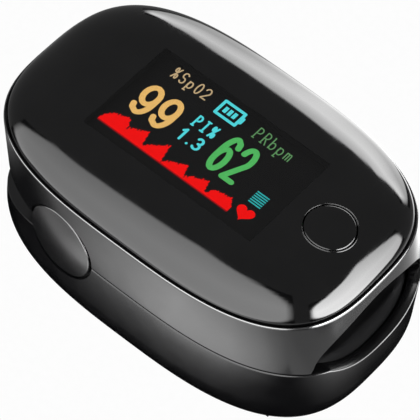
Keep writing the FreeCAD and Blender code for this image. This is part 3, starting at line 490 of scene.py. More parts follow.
def rim_point(turn, inset, level):
    """A point of the rim's outline, drawn in by an inset, at any level."""
    x, y = on_outline(RIM, turn, inset)
    return Vector((x, y, PARTING + level))


def turn_at(y):
    """Where the front half of the body's outline passes a given y."""
    low, high = -math.pi / 2, math.pi / 2
    for _ in range(40):
        middle = (low + high) / 2
        if on_outline(BODY, middle, 0)[1] < y:
            low = middle
        else:
            high = middle
    return (low + high) / 2


def columns():
    """Directions round the outline, finer where the mouth's arch rises steeply."""
    edge = turn_at(MOUTH_HALF_WIDTH)
    turns = [turn_at(MOUTH_HALF_WIDTH * math.sin(math.radians(k))) for k in range(-90, 91, 3)]
    rest = 2 * math.pi - 2 * edge
    count = 260
    turns += [edge + rest * k / count for k in range(1, count)]
    return turns


def upper_edge_level(x, y):
    """The upper housing's lower edge: flat, with the arch of the mouth in front."""
    if x > 0 and abs(y) < MOUTH_HALF_WIDTH:
        return max(PARTING_GAP, ARCH_HEIGHT * math.sqrt(1 - (y / MOUTH_HALF_WIDTH) ** 2))
    return PARTING_GAP


def trough_level(y):
    """The round trough that the lower jaw offers to the finger."""
    return TROUGH_RADIUS - TROUGH_DEPTH - math.sqrt(TROUGH_RADIUS ** 2 - y ** 2)


def lower_edge_level(x, y):
    """The lower housing's rim: flat, dipping at the mouth and falling away behind the hinge."""
    level = -PARTING_GAP
    if x > 0 and abs(y) < TROUGH_RADIUS:
        level = min(level, trough_level(y))
    if x < HINGE.x:
        level = min(level, (x - HINGE.x) * WEDGE_SLOPE)
    return level


def arc_steps(steps):
    """Sines and cosines over a quarter turn."""
    turns = [math.pi / 2 * k / steps for k in range(steps + 1)]
    return [(math.sin(turn), math.cos(turn)) for turn in turns]


def edge_levels(turns, inset, level_at):
    """Levels of a housing's edge in each direction."""
    return [level_at(*on_outline(BODY, t, inset)) for t in turns]


def body_row(turns, inset, levels):
    """A row of points round the housings, at a level for each direction."""
    return [body_point(t, inset, level) for t, level in zip(turns, levels)]


def upper_shell_rows(turns):
    """The upper housing's section, row by row, from its inner foot round the outside and back."""
    rows = [body_row(turns, WALL, edge_levels(turns, WALL, upper_edge_level))]
    edges = edge_levels(turns, LIP, upper_edge_level)
    for sine, cosine in arc_steps(4):
        rows.append(body_row(turns, LIP * (1 - sine), [edge + LIP * (1 - cosine) for edge in edges]))
    side_top, top_lip, seat_drop = RIM_LEVEL - LIP, 0.8 * LIP, 0.08
    for share in WALL_SHARES:
        rows.append(body_row(turns, 0, [edge + LIP + (side_top - edge - LIP) * share for edge in edges]))
    for sine, cosine in arc_steps(4):
        rows.append([body_point(t, top_lip * (1 - cosine), side_top + LIP * sine) for t in turns])
    rows.append([rim_point(t, SEAT_INSET, RIM_LEVEL - seat_drop) for t in turns])
    rows.append([rim_point(t, SEAT_INSET, SEAT_LEVEL) for t in turns])
    rows.append([body_point(t, WALL, SEAT_LEVEL) for t in turns])
    return rows


def lower_shell_rows(turns):
    """The lower housing from the middle of its inner floor up over the rim and down outside."""
    floor_level = BOTTOM + BOTTOM_WALL
    inner_radius = BOTTOM_ROUNDING - WALL
    rows = []
    for share in (0.3, 0.7):
        rows.append([flat_point(BODY, t, BOTTOM_ROUNDING, floor_level, share) for t in turns])
    for sine, cosine in arc_steps(10):
        inset, level = WALL + inner_radius * (1 - sine), floor_level + inner_radius * (1 - cosine)
        rows.append([body_point(t, inset, level) for t in turns])
    rows.append(body_row(turns, WALL, edge_levels(turns, WALL, lower_edge_level)))
    edges = edge_levels(turns, LIP, lower_edge_level)
    for sine, cosine in arc_steps(4):
        rows.append(body_row(turns, LIP * (1 - sine), [edge - LIP * (1 - cosine) for edge in edges]))
    wall_foot = BOTTOM + BOTTOM_ROUNDING
    for share in WALL_SHARES:
        rows.append(body_row(turns, 0, [edge - LIP + (wall_foot - edge + LIP) * share for edge in edges]))
    return rows + bottom_rows(turns)


def bottom_rows(turns):
    """The rounded bottom and its flat middle."""
    rows = []
    for sine, cosine in arc_steps(22):
        inset, level = BOTTOM_ROUNDING * (1 - cosine), BOTTOM + BOTTOM_ROUNDING * (1 - sine)
        rows.append([body_point(t, inset, level) for t in turns])
    for share in (0.7, 0.3):
        rows.append([flat_point(BODY, t, BOTTOM_ROUNDING, BOTTOM, share) for t in turns])
    return rows


def flat_point(shape, turn, inset, level, share):
    """A point part of the way from the middle of a flat face to its edge."""
    x, y = on_outline(shape, turn, inset)
    return Vector((shape["x"] + (x - shape["x"]) * share, y * share, PARTING + level))


def dome_rows(turns, inset, edge_level, top_level, roll_off, foot_level):
    """The lens's dome from its foot over the curved border to the flat middle."""
    rows = [[rim_point(t, inset, foot_level) for t in turns]]
    for sine, cosine in arc_steps(26):
        level = edge_level + (top_level - edge_level) * sine
        rows.append([rim_point(t, inset + roll_off * (1 - cosine), level) for t in turns])
    for share in (0.75, 0.5, 0.25):
        rows.append([flat_point(RIM, t, inset + roll_off, top_level, share) for t in turns])
    return rows


def dome_level(x, y):
    """Level of the lens's outer surface over a place."""
    low, high = 0.0, LENS_ROLL_OFF
    for _ in range(30):
        inset = (low + high) / 2 + LENS_INSET
        reach = (abs(x - RIM["x"]) / (RIM["length"] - inset)) ** RIM["power"]
        reach += (abs(y) / (RIM["width"] - inset)) ** RIM["power"]
        if reach < 1:
            low = (low + high) / 2
        else:
            high = (low + high) / 2
    cosine = 1 - low / LENS_ROLL_OFF
    return LENS_EDGE + (LENS_TOP - LENS_EDGE) * math.sqrt(max(0.0, 1 - cosine ** 2))


def cap_frame(side):
    """Middle and outward direction of a pivot cap on the leaning side wall."""
    reach = abs(HINGE.x - BODY["x"]) / BODY["length"]
    remainder = 1 - reach ** BODY["power"]
    half_width = BODY["width"] * remainder ** (1 / BODY["power"])
    slope = half_width / remainder * reach ** (BODY["power"] - 1) / BODY["length"]
    outward = Vector((-slope, side, 0)).normalized()
    return Vector((HINGE.x, side * half_width, PARTING)) - outward * 0.12, outward


# ---------------------------------------------------------------------------- the pieces

def cut_cap_pockets(piece, depth):
    """Cuts the two round pockets of the pivot caps."""
    pocket = CAP_RADIUS + CAP_GROOVE
    for side in SIDES:
        middle, outward = cap_frame(side)
        combine(piece, *revolve([(pocket, -depth), (pocket, CLEAR)], middle, outward, 128))


def build_upper_housing(material):
    piece = add_mesh("upper_shell", *loft(upper_shell_rows(columns()), closed=True), material)
    cut_cap_pockets(piece, depth=1.15)
    finish_piece(piece, "upper_jaw", "upper_housing")


def build_rim_bead(material):
    """The bead along the upper housing's rim, beside the lens: a polished edge whose lighter, more reflective
    black is also a painted highlight for the bright line along the rim.
    """
    turns = columns()
    rows = []
    for turn in round_turns(12):
        inset = RIM_BEAD * (1.3 - math.cos(turn))
        level = RIM_LEVEL - 0.02 + RIM_BEAD * math.sin(turn)
        rows.append([rim_point(t, inset, level) for t in turns])
    piece = add_mesh("rim_bead", *loft(rows, closed=True), material)
    finish_piece(piece, "upper_jaw")


def build_lower_housing(material):
    rows = lower_shell_rows(columns())
    piece = add_mesh("lower_shell", *loft(rows, cap_start=True, cap_end=True), material)
    cut_cap_pockets(piece, depth=0.8)
    half = DOOR_HALF_WIDTH + DOOR_GAP
    low, high = (-FAR, -half, -CLEAR), (DOOR_HIGH.x + DOOR_GAP, half, DOOR_TOP + DOOR_HEADROOM)
    combine(piece, *block_points(low, high))
    finish_piece(piece, "lower_jaw", "lower_housing")


def build_door(material):
    """The door: the bottom of the lower housing's form, with tongues and finger grooves."""
    turns = columns()
    rows = [[body_point(t, 0, -7.0) for t in turns]] + bottom_rows(turns)
    piece = add_mesh("door_shell", *loft(rows, cap_start=True, cap_end=True), material)
    low, high = (DOOR_LOW.x, -DOOR_HALF_WIDTH, -CLEAR), (DOOR_HIGH.x, DOOR_HALF_WIDTH, DOOR_TOP)
    combine(piece, *block_points(low, high), "INTERSECT")
    root, rear_setback, front_setback, drop = 0.6, 4.4, 0.2, 0.2
    for side in SIDES:
        y_range = sorted((side * (DOOR_HALF_WIDTH - root), side * DOOR_HIGH.y))
        low = (DOOR_LOW.x + rear_setback, y_range[0], DOOR_TOP - drop)
        high = (DOOR_HIGH.x - front_setback, y_range[1], DOOR_HIGH.z)
        combine(piece, *block_points(low, high), "UNION")
    groove_radius, groove_half_length, groove_pitch, first_groove = 0.6, 5.5, 2.0, -8.0
    profile = [(groove_radius, -groove_half_length), (groove_radius, groove_half_length)]
    for step in range(5):
        middle = Vector((first_groove - groove_pitch * step, 0, -groove_radius / 2))
        combine(piece, *revolve(profile, middle, ACROSS, 32))
    soften(piece, 0.12)
    smooth(piece.data)
    finish_piece(piece, "door", "battery_door")


def build_lens(material):
    turns, foot = columns(), SEAT_LEVEL + 0.02
    outer = dome_rows(turns, LENS_INSET, LENS_EDGE, LENS_TOP, LENS_ROLL_OFF, foot)
    inner = dome_rows(turns, LENS_INSET + LENS_WALL, LENS_EDGE, LENS_TOP - LENS_WALL,
                      LENS_ROLL_OFF - LENS_WALL, foot)
    piece = add_mesh("lens_shell", *loft(outer[::-1] + inner, cap_start=True, cap_end=True), material)
    middle = Vector((BUTTON_X, 0, PARTING))
    profile = [(BUTTON_HOLE_RADIUS, 8.0), (BUTTON_HOLE_RADIUS, 16.0)]
    combine(piece, *revolve(profile, middle, UPWARD, 128))
    finish_piece(piece, "upper_jaw", "display_lens")


def ring_row(radius, rise):
    """Points on a circle round the button, lifted over the lens's surface."""
    row = []
    for turn in round_turns(128):
        x, y = BUTTON_X + radius * math.cos(turn), radius * math.sin(turn)
        row.append(Vector((x, y, PARTING + dome_level(x, y) + rise)))
    return row


def level_ring(radius, level):
    """Points on a level circle round the button."""
    return [Vector((BUTTON_X + radius * math.cos(t), radius * math.sin(t), PARTING + level))
            for t in round_turns(128)]


def build_button(material):
    """The round button, whose face follows the dome, with a rounded edge."""
    bottom = BUTTON_LOW.z - PARTING
    rows = [level_ring(BUTTON_RADIUS * share, bottom) for share in (0.5, 1.0)]
    edge, proud = 0.22, 0.1
    for sine, cosine in arc_steps(5):
        rows.append(ring_row(BUTTON_RADIUS - edge * (1 - cosine), proud - edge * (1 - sine)))
    for share in (0.8, 0.6, 0.4, 0.2):
        rows.append(ring_row((BUTTON_RADIUS - edge) * share, proud))
    piece = add_mesh("button_cap", *loft(rows, cap_start=True, cap_end=True), material)
    finish_piece(piece, "button", "power_button")


def build_button_bezel(material):
    """The polished lip of the lens round the button."""
    rows = []
    lip = 0.09
    for turn in round_turns(12):
        rows.append(ring_row(BUTTON_HOLE_RADIUS + lip + lip * math.cos(turn), lip * math.sin(turn)))
    piece = add_mesh("button_bezel", *loft(rows, closed=True), material)
    finish_piece(piece, "upper_jaw")


def build_caps(material):
    """The crowned pivot caps."""
    crown, edge, foot, proud = 0.5, 0.22, -0.7, 0.05
    radius = (CAP_RADIUS ** 2 + crown ** 2) / (2 * crown)
    profile = [(CAP_RADIUS * 0.5, foot), (CAP_RADIUS, foot)]
    for sine, cosine in arc_steps(6):
        profile.append((CAP_RADIUS - edge * (1 - cosine), -edge * (1 - sine) + proud))
    for share in (0.9, 0.8, 0.65, 0.5, 0.35, 0.2, 0.08):
        reach = CAP_RADIUS * share
        profile.append((reach, crown - radius + math.sqrt(radius ** 2 - reach ** 2)))
    for name, side in (("pivot_cap_right", -1), ("pivot_cap_left", 1)):
        piece = add_mesh(name + "_face", *revolve(profile, *cap_frame(side), 128), material)
        finish_piece(piece, "lower_jaw", name)


def front_limit(y, level, inset):
    """How far forward the housings' inside reaches at a place."""
    shape = body_shape(level)
    reach = 1 - (min(abs(y) / (shape["width"] - inset), 0.999)) ** shape["power"]
    return shape["x"] + (shape["length"] - inset) * reach ** (1 / shape["power"])


def rib(x):
    """Low cross ribs that grip the finger."""
    pitch, height = 2.4, 0.16
    wave = math.cos((x - LOWER_PAD_LOW.x) / pitch * 2 * math.pi)
    return height * max(0.0, wave) ** 2


def front_swell(share):
    """Rises from 0 to 1 along the last stretch of a pad, where its front edge rounds over."""
    return max(0.0, 1 - abs(share - 1) / 0.03)


def finish_pad(piece, levels, body, node):
    """Cuts the sensor window's opening through a pad and softens its edges."""
    gap = 0.05
    low = (CHAMBER_WINDOW_LOW.x - gap, CHAMBER_WINDOW_LOW.y - gap, PARTING + levels[0])
    high = (CHAMBER_WINDOW_HIGH.x + gap, CHAMBER_WINDOW_HIGH.y + gap, PARTING + levels[1])
    combine(piece, *block_points(low, high))
    soften(piece, 0.15, 50)
    smooth(piece.data, 40)
    finish_piece(piece, body, node)


def build_upper_pad(material):
    """The silicone arch, its front edge following the mouth."""
    inner, outer = [], []
    front_gap, swell = 2.2, 0.35
    for k in range(PAD_STEPS + 1):
        share = k / PAD_STEPS
        inner_row, outer_row = [], []
        for degrees in range(3, 178, 3):
            across, rise = math.cos(math.radians(degrees)), math.sin(math.radians(degrees))
            outer_y, outer_level = (MOUTH_HALF_WIDTH + PAD_WALL) * across, (ARCH_HEIGHT + PAD_WALL) * rise
            limit = front_limit(outer_y, outer_level, front_gap)
            x = UPPER_PAD_LOW.x + (limit - UPPER_PAD_LOW.x) * share
            inward = Vector((0, across / MOUTH_HALF_WIDTH, rise / ARCH_HEIGHT)).normalized()
            inward *= rib(x) - swell * front_swell(share)
            inner_row.append(Vector((x, MOUTH_HALF_WIDTH * across, PARTING + ARCH_HEIGHT * rise)) - inward)
            outer_row.append(Vector((x, outer_y, PARTING + outer_level)))
        inner.append(inner_row)
        outer.append(outer_row)
    piece = add_mesh("upper_pad_skin", *thick_sheet(inner, outer), material)
    finish_pad(piece, (6.0, 10.0), "upper_jaw", "upper_pad")


def build_lower_pad(material):
    """The silicone trough, with a rounded front edge."""
    top, bottom = [], []
    half, steps_across, ribbed_half = LOWER_PAD_HIGH.y, 60, 9
    front_gap, front_level, drop, land = 1.9, -1.0, 0.4, -0.3
    for k in range(PAD_STEPS + 1):
        share = k / PAD_STEPS
        top_row, bottom_row = [], []
        for step in range(steps_across + 1):
            y = -half + 2 * half * step / steps_across
            limit = front_limit(y, front_level, front_gap)
            x = LOWER_PAD_LOW.x + (limit - LOWER_PAD_LOW.x) * share
            level = min(land, trough_level(y)) - drop * front_swell(share)
            if abs(y) < ribbed_half:
                level += rib(x)
            top_row.append(Vector((x, y, PARTING + level)))
            bottom_row.append(Vector((x, y, LOWER_PAD_LOW.z)))
        top.append(top_row)
        bottom.append(bottom_row)
    piece = add_mesh("lower_pad_skin", *thick_sheet(top, bottom), material)
    finish_pad(piece, (-6.0, 1.0), "lower_jaw", "lower_pad")


def wire_rows(path, radius):
    """Circles of wire along a path, without twist."""
    rows = []
    side = None
    for index, point in enumerate(path):
        before = path[max(index - 1, 0)]
        after = path[min(index + 1, len(path) - 1)]
        heading = (after - before).normalized()
        if side is None:
            side = heading.orthogonal().normalized()
        side = (side - heading * side.dot(heading)).normalized()
        other = heading.cross(side)
        rows.append([point + (side * math.cos(turn) + other * math.sin(turn)) * radius
                     for turn in round_turns(12)])
    return rows


def build_jaw_springs(material):
    """Torsion springs: coil, and a straight leg to each jaw."""
    radius, wire, pitch, start_y, steps = 2.3, 0.4, 0.95, 5.4, 160
    first, last = math.radians(-80), math.radians(42) + 6 * math.pi
    coil = []
    for k in range(steps + 1):
        turn = first + (last - first) * k / steps
        y = start_y + pitch * (turn - first) / (2 * math.pi)
        coil.append(HINGE + Vector((radius * math.cos(turn), y, radius * math.sin(turn))))
    legs = []
    spring_low, _ = box_mm("jaw_spring_left")
    for point, turn, end_x in ((coil[0], first, spring_low.x + 0.1), (coil[-1], last, HINGE.x - 3.7)):
        slope = -math.cos(turn) / math.sin(turn)
        tip = Vector((end_x, point.y, point.z + (end_x - point.x) * slope))
        legs.append([point.lerp(tip, share) for share in (0.1, 0.4, 0.7, 1.0)])
    path = legs[0][::-1] + coil + legs[1]
    for name, side in (("jaw_spring_left", 1), ("jaw_spring_right", -1)):
        rows = wire_rows([Vector((p.x, p.y * side, p.z)) for p in path], wire)
        piece = add_mesh(name + "_wire", *loft(rows, cap_start=True, cap_end=True), material)
        finish_piece(piece, node=name)
        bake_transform(piece)


def build_cable(material):
    """The flat cable behind the axle, with its copper tracks standing slightly proud."""
    # (x, level) from the lower jaw round the outside of the hinge to the upper jaw
    bends = [(-13.7, -4.95), (-15.2, -4.75), (-16.7, -2.4), (-17.2, 1.0),
             (-16.8, 5.0), (-15.8, 8.0), (-15.2, 9.2)]
    path = smooth_line([Vector((x, 0, PARTING + level)) for x, level in bends], 12)
    half_width, half_thickness, steps = 1.6, 0.06, 32
    top, bottom = [], []
    for index, point in enumerate(path):
        heading = (path[min(index + 1, len(path) - 1)] - path[max(index - 1, 0)]).normalized()
        normal = heading.cross(ACROSS)
        top_row, bottom_row = [], []
        for step in range(steps + 1):
            beside = ACROSS * (half_width * (2 * step / steps - 1))
            track = 0.03 if step % 4 in (1, 2) and 1 < step < steps - 1 else 0.0
            top_row.append(point + normal * (half_thickness + track) + beside)
            bottom_row.append(point - normal * (half_thickness + track) + beside)
        top.append(top_row)
        bottom.append(bottom_row)
    piece = add_mesh("jaw_cable_film", *thick_sheet(top, bottom), material)
    finish_piece(piece, node="jaw_cable")
    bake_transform(piece)


def smooth_line(points, steps):
    """A Catmull-Rom curve through points."""
    line = []
    padded = [points[0]] + points + [points[-1]]
    for k in range(len(points) - 1):
        a, b, c, d = padded[k:k + 4]
        for step in range(steps):
            t = step / steps
            curve = (2 * a - 5 * b + 4 * c - d) * t * t + (3 * b - a - 3 * c + d) * t ** 3
            line.append(0.5 * ((2 * b) + (c - a) * t + curve))
    line.append(points[-1])
    return line


def build_ears(material):
    """The lower housing's two ears, which hold the axle."""
    radius, foot = 3.4, PARTING - 9.0
    ear_inner, ear_outer, tie_inner, tie_outer = 13.4, 16.0, 15.9, 17.6
    for name, side in (("lower_ear_right", -1), ("lower_ear_left", 1)):
        ear_y = sorted((side * ear_inner, side * ear_outer))
        tie_y = sorted((side * tie_inner, side * tie_outer))
        profile = [(radius, 0.0), (radius, ear_y[1] - ear_y[0])]
        middle = Vector((HINGE.x, ear_y[0], PARTING))
        piece = add_mesh(name, *revolve(profile, middle, ACROSS, 64), material)
        low, high = (HINGE.x - radius, ear_y[0], foot), (HINGE.x + radius, ear_y[1], PARTING)
        combine(piece, *block_points(low, high), "UNION")
        low, high = (HINGE.x - 3.0, tie_y[0], foot), (HINGE.x + radius, tie_y[1], PARTING - 2.4)
        combine(piece, *block_points(low, high), "UNION")
        soften(piece, 0.2)
        smooth(piece.data)
        finish_piece(piece, "lower_jaw")


def build_inner_walls(material):
    """The lower housing's door rails and the walls at both ends of the battery bay."""
    blocks = []
    half_length, low_level, high_level = 14.5, PARTING - 15.2, PARTING - 14.3
    rail_inner, rail_outer = 12.52, 14.2
    for name, side in (("door_rail_right", -1), ("door_rail_left", 1)):
        y_range = sorted((side * rail_inner, side * rail_outer))
        blocks.append((name, (-half_length, y_range[0], low_level), (half_length, y_range[1], high_level)))
    wall, half_width = 0.9, 7.0
    bridge_low, _ = box_mm("contact_bridge")
    _, plate_high = box_mm("contact_plate_left")
    for name, start in (("bay_wall_rear", bridge_low.x - wall), ("bay_wall_front", plate_high.x)):
        blocks.append((name, (start, -half_width, bridge_low.z), (start + wall, half_width, TRAY_LOW.z)))
    for name, low, high in blocks:
        piece = add_mesh(name, *block_points(low, high), material)
        soften(piece, 0.1)
        finish_piece(piece, "lower_jaw")


# --------------------------------------------------------------------------- the display

def arc(x, y, half_width, half_height, start, stop, steps=16):
    """Points along part of an ellipse, in degrees."""
    turns = [math.radians(start + (stop - start) * k / steps) for k in range(steps + 1)]
    return [(x + half_width * math.cos(t), y + half_height * math.sin(t)) for t in turns]


def glyphs():
    """Strokes of each character in a box one wide and one high."""
    bowl = [(0.15, 0), (0.15, 1), (0.45, 1)] + arc(0.45, 0.75, 0.5, 0.25, 90, -90) + [(0.15, 0.5)]
    low_bowl = arc(0.5, 0.3, 0.45, 0.3, 0, 360)
    nine_tail = [(1, 0.68)] + arc(0.45, 0.45, 0.55, 0.45, 0, -90) + [(0.1, 0.08), (0, 0.2)]
    six_tail = [(0, 0.32)] + arc(0.55, 0.55, 0.55, 0.45, 180, 90) + [(0.9, 0.92), (1, 0.8)]
    first_hump = [(0.05, 0.5)] + arc(0.28, 0.4, 0.22, 0.2, 150, 0) + [(0.5, 0)]
    last_hump = [(0.5, 0.4)] + arc(0.72, 0.4, 0.22, 0.2, 150, 0) + [(0.95, 0)]
    return {
        "9": [arc(0.5, 0.68, 0.5, 0.32, 0, 360), nine_tail],
        "6": [arc(0.5, 0.32, 0.5, 0.32, 0, 360), six_tail],
        "2": [arc(0.5, 0.7, 0.5, 0.3, 165, -25) + [(0, 0), (1, 0)]],
        "1": [[(0.15, 0.78), (0.55, 1), (0.55, 0)]],
        "3": [arc(0.45, 0.75, 0.45, 0.25, 150, -80), arc(0.45, 0.26, 0.52, 0.26, 90, -150)],
        ".": [[(0.5, 0.02), (0.5, 0.03)]],
        "%": [arc(0.2, 0.78, 0.2, 0.2, 0, 360), arc(0.8, 0.22, 0.2, 0.2, 0, 360), [(0.9, 1), (0.1, 0)]],
        "S": [arc(0.5, 0.75, 0.45, 0.25, 30, 250) + arc(0.5, 0.26, 0.45, 0.26, 80, -150)],
        "p": [[(0.1, 0.6), (0.1, -0.3)], low_bowl, [(0, -0.3), (0.4, -0.3)]],
        "O": [arc(0.5, 0.5, 0.45, 0.5, 0, 360, 24)],
        "P": [bowl, [(0, 0), (0.4, 0)]],
        "R": [bowl, [(0.5, 0.5), (1, 0)], [(0, 0), (0.35, 0)]],
        "b": [[(0, 1), (0.1, 1), (0.1, 0)], low_bowl],
        "m": [[(0.05, 0), (0.05, 0.6)], first_hump, last_hump],
        "I": [[(0.5, 0), (0.5, 1)], [(0.2, 1), (0.8, 1)], [(0.2, 0), (0.8, 0)]],
    }


def stroke(points, faces, half_width, path):
    """Adds a rounded stroke along a path to a flat shape."""
    for (x0, y0), (x1, y1) in zip(path, path[1:]):
        heading = math.atan2(y1 - y0, x1 - x0)
        first = len(points)
        for x, y, start in ((x1, y1, heading - math.pi / 2), (x0, y0, heading + math.pi / 2)):
            for step in range(7):
                turn = start + math.pi * step / 6
                points.append((x + half_width * math.cos(turn), y + half_width * math.sin(turn)))
        faces.append(tuple(range(first, len(points))))


def flat_piece(name, points, faces, material):
    """A lit shape just over the panel's face, placed from the panel's middle."""
    middle, lift = (PANEL_LOW + PANEL_HIGH) / 2, 0.03
    placed = [(middle.x + x, middle.y + y, PANEL_HIGH.z + lift) for x, y in points]
    finish_piece(new_piece(name, placed, faces, material), "upper_jaw")


def word(name, text, box, half_width, material, gap=0.32):
    """A row of characters that fills a box (low x, low y, high x, high y)."""
    shapes = glyphs()
    widths = [0.35 if letter == "." else 1.0 for letter in text]
    cell = (box[2] - box[0]) / (sum(widths) + gap * (len(text) - 1))
    points, faces = [], []
    left = box[0]
    for letter, width in zip(text, widths):
        wide = width * cell - 2 * half_width
        high = box[3] - box[1] - 2 * half_width
        for path in shapes[letter]:
            placed = [(left + half_width + x * wide, box[1] + half_width + y * high) for x, y in path]
            stroke(points, faces, half_width, placed)
        left += (width + gap) * cell
    flat_piece(name, points, faces, material)


def bar(points, faces, low, high):
    """Adds a rectangle to a flat shape."""
    first = len(points)
    points += [(low[0], low[1]), (high[0], low[1]), (high[0], high[1]), (low[0], high[1])]
    faces.append((first, first + 1, first + 2, first + 3))


def build_waveform(material, dim_material):
    """The pulse wave: humps drawn pixel by pixel and filled down to the base line."""
    pixel, left, base, shoulder_share, peak_share = 0.2, -12.96, -6.16, 0.3, 0.82
    # each hump: start, end, height at the start, shoulder, peak and height at the end
    humps = ((0.0, 4.2, 0.4, 2.2, 3.0, 1.2), (4.2, 7.4, 1.6, 2.1, 3.0, 0.4),
             (7.4, 11.1, 0.4, 1.5, 3.2, 0.2), (11.1, 14.8, 0.2, 1.2, 2.3, 0.2),
             (14.8, 18.6, 0.2, 1.2, 2.2, 0.2), (18.6, 22.8, 0.2, 1.7, 2.1, 0.9))
    notches = (0.0, 0.12, -0.1, 0.1, -0.14, 0.06)
    points, faces = [], []
    column = 0
    for start, stop, first, shoulder, peak, last in humps:
        steps = round((stop - start) / pixel)
        for step in range(steps):
            share = (step + 0.5) / steps
            if share < shoulder_share:
                height = first + (shoulder - first) * math.sin(share / shoulder_share * math.pi / 2)
            elif share < peak_share:
                climb = (share - shoulder_share) / (peak_share - shoulder_share)
                height = shoulder + (peak - shoulder) * climb
            else:
                height = peak + (last - peak) * ((share - peak_share) / (1 - peak_share)) ** 0.8
            height = max(pixel, round((height + notches[column % len(notches)]) / pixel) * pixel)
            x = left + start + step * pixel
            bar(points, faces, (x, base), (x + pixel, base + height))
            column += 1
    flat_piece("display_wave", points, faces, material)
    points, faces = [], []
    bar(points, faces, (left, base - 0.22), (left + humps[-1][1], base))
    flat_piece("display_base_line", points, faces, dim_material)


def build_signs(cyan, teal, red):
    """Battery sign, strength bars and heart."""
    points, faces = [], []
    left, right, low, high = -2.0, 1.45, 5.55, 8.05
    stroke(points, faces, 0.23, [(left, low), (right, low), (right, high), (left, high), (left, low)])
    stroke(points, faces, 0.26, [(right + 0.3, 6.4), (right + 0.3, 7.2)])
    for step in range(3):
        start = left + 0.65 + 0.78 * step
        bar(points, faces, (start, low + 0.7), (start + 0.55, high - 0.7))
    flat_piece("display_battery_sign", points, faces, cyan)
    points, faces = [], []
    for step in range(6):
        low = -2.96 + 0.4 * step
        bar(points, faces, (10.79, low), (12.84, low + 0.22))
    flat_piece("display_bars", points, faces, teal)
    heart, steps, scale = [], 48, 0.088
    for turn in round_turns(steps):
        x = 16 * math.sin(turn) ** 3
        y = 13 * math.cos(turn) - 5 * math.cos(2 * turn) - 2 * math.cos(3 * turn) - math.cos(4 * turn)
        heart.append((11.76 + x * scale, -4.85 + y * scale))
    faces = [(k, (k + 1) % steps, steps) for k in range(steps)]
    flat_piece("display_heart", heart + [(11.76, -4.9)], faces, red)


def build_display():
    cyan = glowing("display_cyan", (0.10, 0.86, 0.92))
    amber = glowing("display_amber", (1.0, 0.60, 0.18))
    cream = glowing("display_cream", (0.66, 0.48, 0.26))
    green = glowing("display_green", (0.10, 0.58, 0.14))
    dim_green = glowing("display_dim_green", (0.13, 0.34, 0.13))
    red = glowing("display_red", (1.1, 0.0, 0.0))
    dim_red = glowing("display_dim_red", (0.32, 0.0, 0.004))
    word("display_oxygen", "99", (-11.5, -2.3, -5.0, 3.75), 0.43, amber, 0.14)
    word("display_oxygen_label", "%SpO2", (-10.56, 6.0, -4.2, 8.15), 0.11, cream)
    word("display_pulse", "62", (2.3, -2.6, 7.65, 4.5), 0.43, green, 0.12)
    word("display_pulse_label", "PRbpm", (4.24, 5.64, 10.7, 7.85), 0.09, dim_green)
    word("display_index_label", "PI%", (-3.16, 1.54, 0.7, 3.8), 0.15, cyan)
    word("display_index", "1.3", (-3.4, -1.5, 0.6, 0.85), 0.19, cyan, 0.3)
    build_waveform(red, dim_red)
    build_signs(cyan, glowing("display_teal", (0.03, 0.50, 0.50)), red)


# ------------------------------------------------------------------- CAD nodes' materials

def paint(material, *names):
    """Gives CAD nodes a material."""
    for name in names:
        node = frame["nodes"][name]
        node.data.materials.clear()
        node.data.materials.append(material)


def build_inner_materials():
    inner = moulded("inner_plastic", (0.020, 0.020, 0.022), (0.032, 0.032, 0.034), (0.35, 0.5), 1.5, 0.02)
    paint(inner, "display_holder", "upper_frame", "lower_frame")
    glass = moulded("display_glass", *GLOSS_BLACK, (0.3, 0.4))
    principled(glass).inputs["Specular IOR Level"].default_value = 0.0
    paint(glass, "display_panel")
    paint(moulded("flex_film", *POLYIMIDE, (0.2, 0.35), 1.6), "display_ribbon", "detector_flex")
    paint(circuit_board(), "main_board", "emitter_board")
    chip = moulded("chip_resin", (0.012, 0.012, 0.013), (0.024, 0.024, 0.026), (0.4, 0.6), 1.5, 0.01)
    paint(chip, "controller_chip", "buzzer", "support_chips")
    paint(moulded("chip_ceramic", (0.28, 0.20, 0.12), (0.42, 0.31, 0.20), (0.3, 0.5)), "board_capacitors")
    screw = metal("screw_steel", (0.50, 0.50, 0.52), (0.68, 0.68, 0.70), (0.2, 0.4), (1, 1, 1))
    paint(screw, "board_screws", "upper_frame_screws", "lower_frame_screws")
    paint(moulded("plunger_plastic", (0.30, 0.30, 0.30), (0.40, 0.40, 0.40), (0.3, 0.45)), "switch_plunger")
    contact = metal("contact_metal", (0.60, 0.58, 0.52), (0.78, 0.76, 0.70), (0.15, 0.32))
    paint(contact, "switch_base", "contact_bridge", "contact_plate_right", "contact_plate_left",
          "contact_spring_rear", "contact_spring_front")
    paint(metal("axle_steel", (0.45, 0.45, 0.47), (0.62, 0.62, 0.64), (0.18, 0.35), (1, 12, 1)), "hinge_axle")
    paint(lit_beads(), "emitter_leds")
    window = moulded("sensor_window", (0.16, 0.015, 0.012), (0.22, 0.022, 0.016), (0.08, 0.15))
    paint(window, "emitter_window", "detector_window")
    paint(moulded("photodiode_resin", (0.02, 0.018, 0.03), (0.05, 0.04, 0.07), (0.1, 0.2)), "photodiode")
    paint(cell_sleeve("cell_sleeve_front", "battery_right", "front"), "battery_right")
    paint(cell_sleeve("cell_sleeve_rear", "battery_left", "rear"), "battery_left")


def circuit_board():
    """Green solder resist with fine raised tracks."""
    material, graph, shader = new_material("circuit_board")
    tracks = graph.add("TexVoronoi", {"Scale": 420, "Vector": graph.place()}, feature="DISTANCE_TO_EDGE")
    edge = graph.add("MapRange", {"From Max": 0.09, "Value": tracks.outputs["Distance"]}).outputs["Result"]
    colour = tinted(graph, edge, (0.10, 0.32, 0.12), (0.012, 0.10, 0.035))
    graph.fill(shader, {"Base Color": colour, "Roughness": 0.3})
    add_bump(graph, shader, edge, 0.00003, 0.4)
    return material


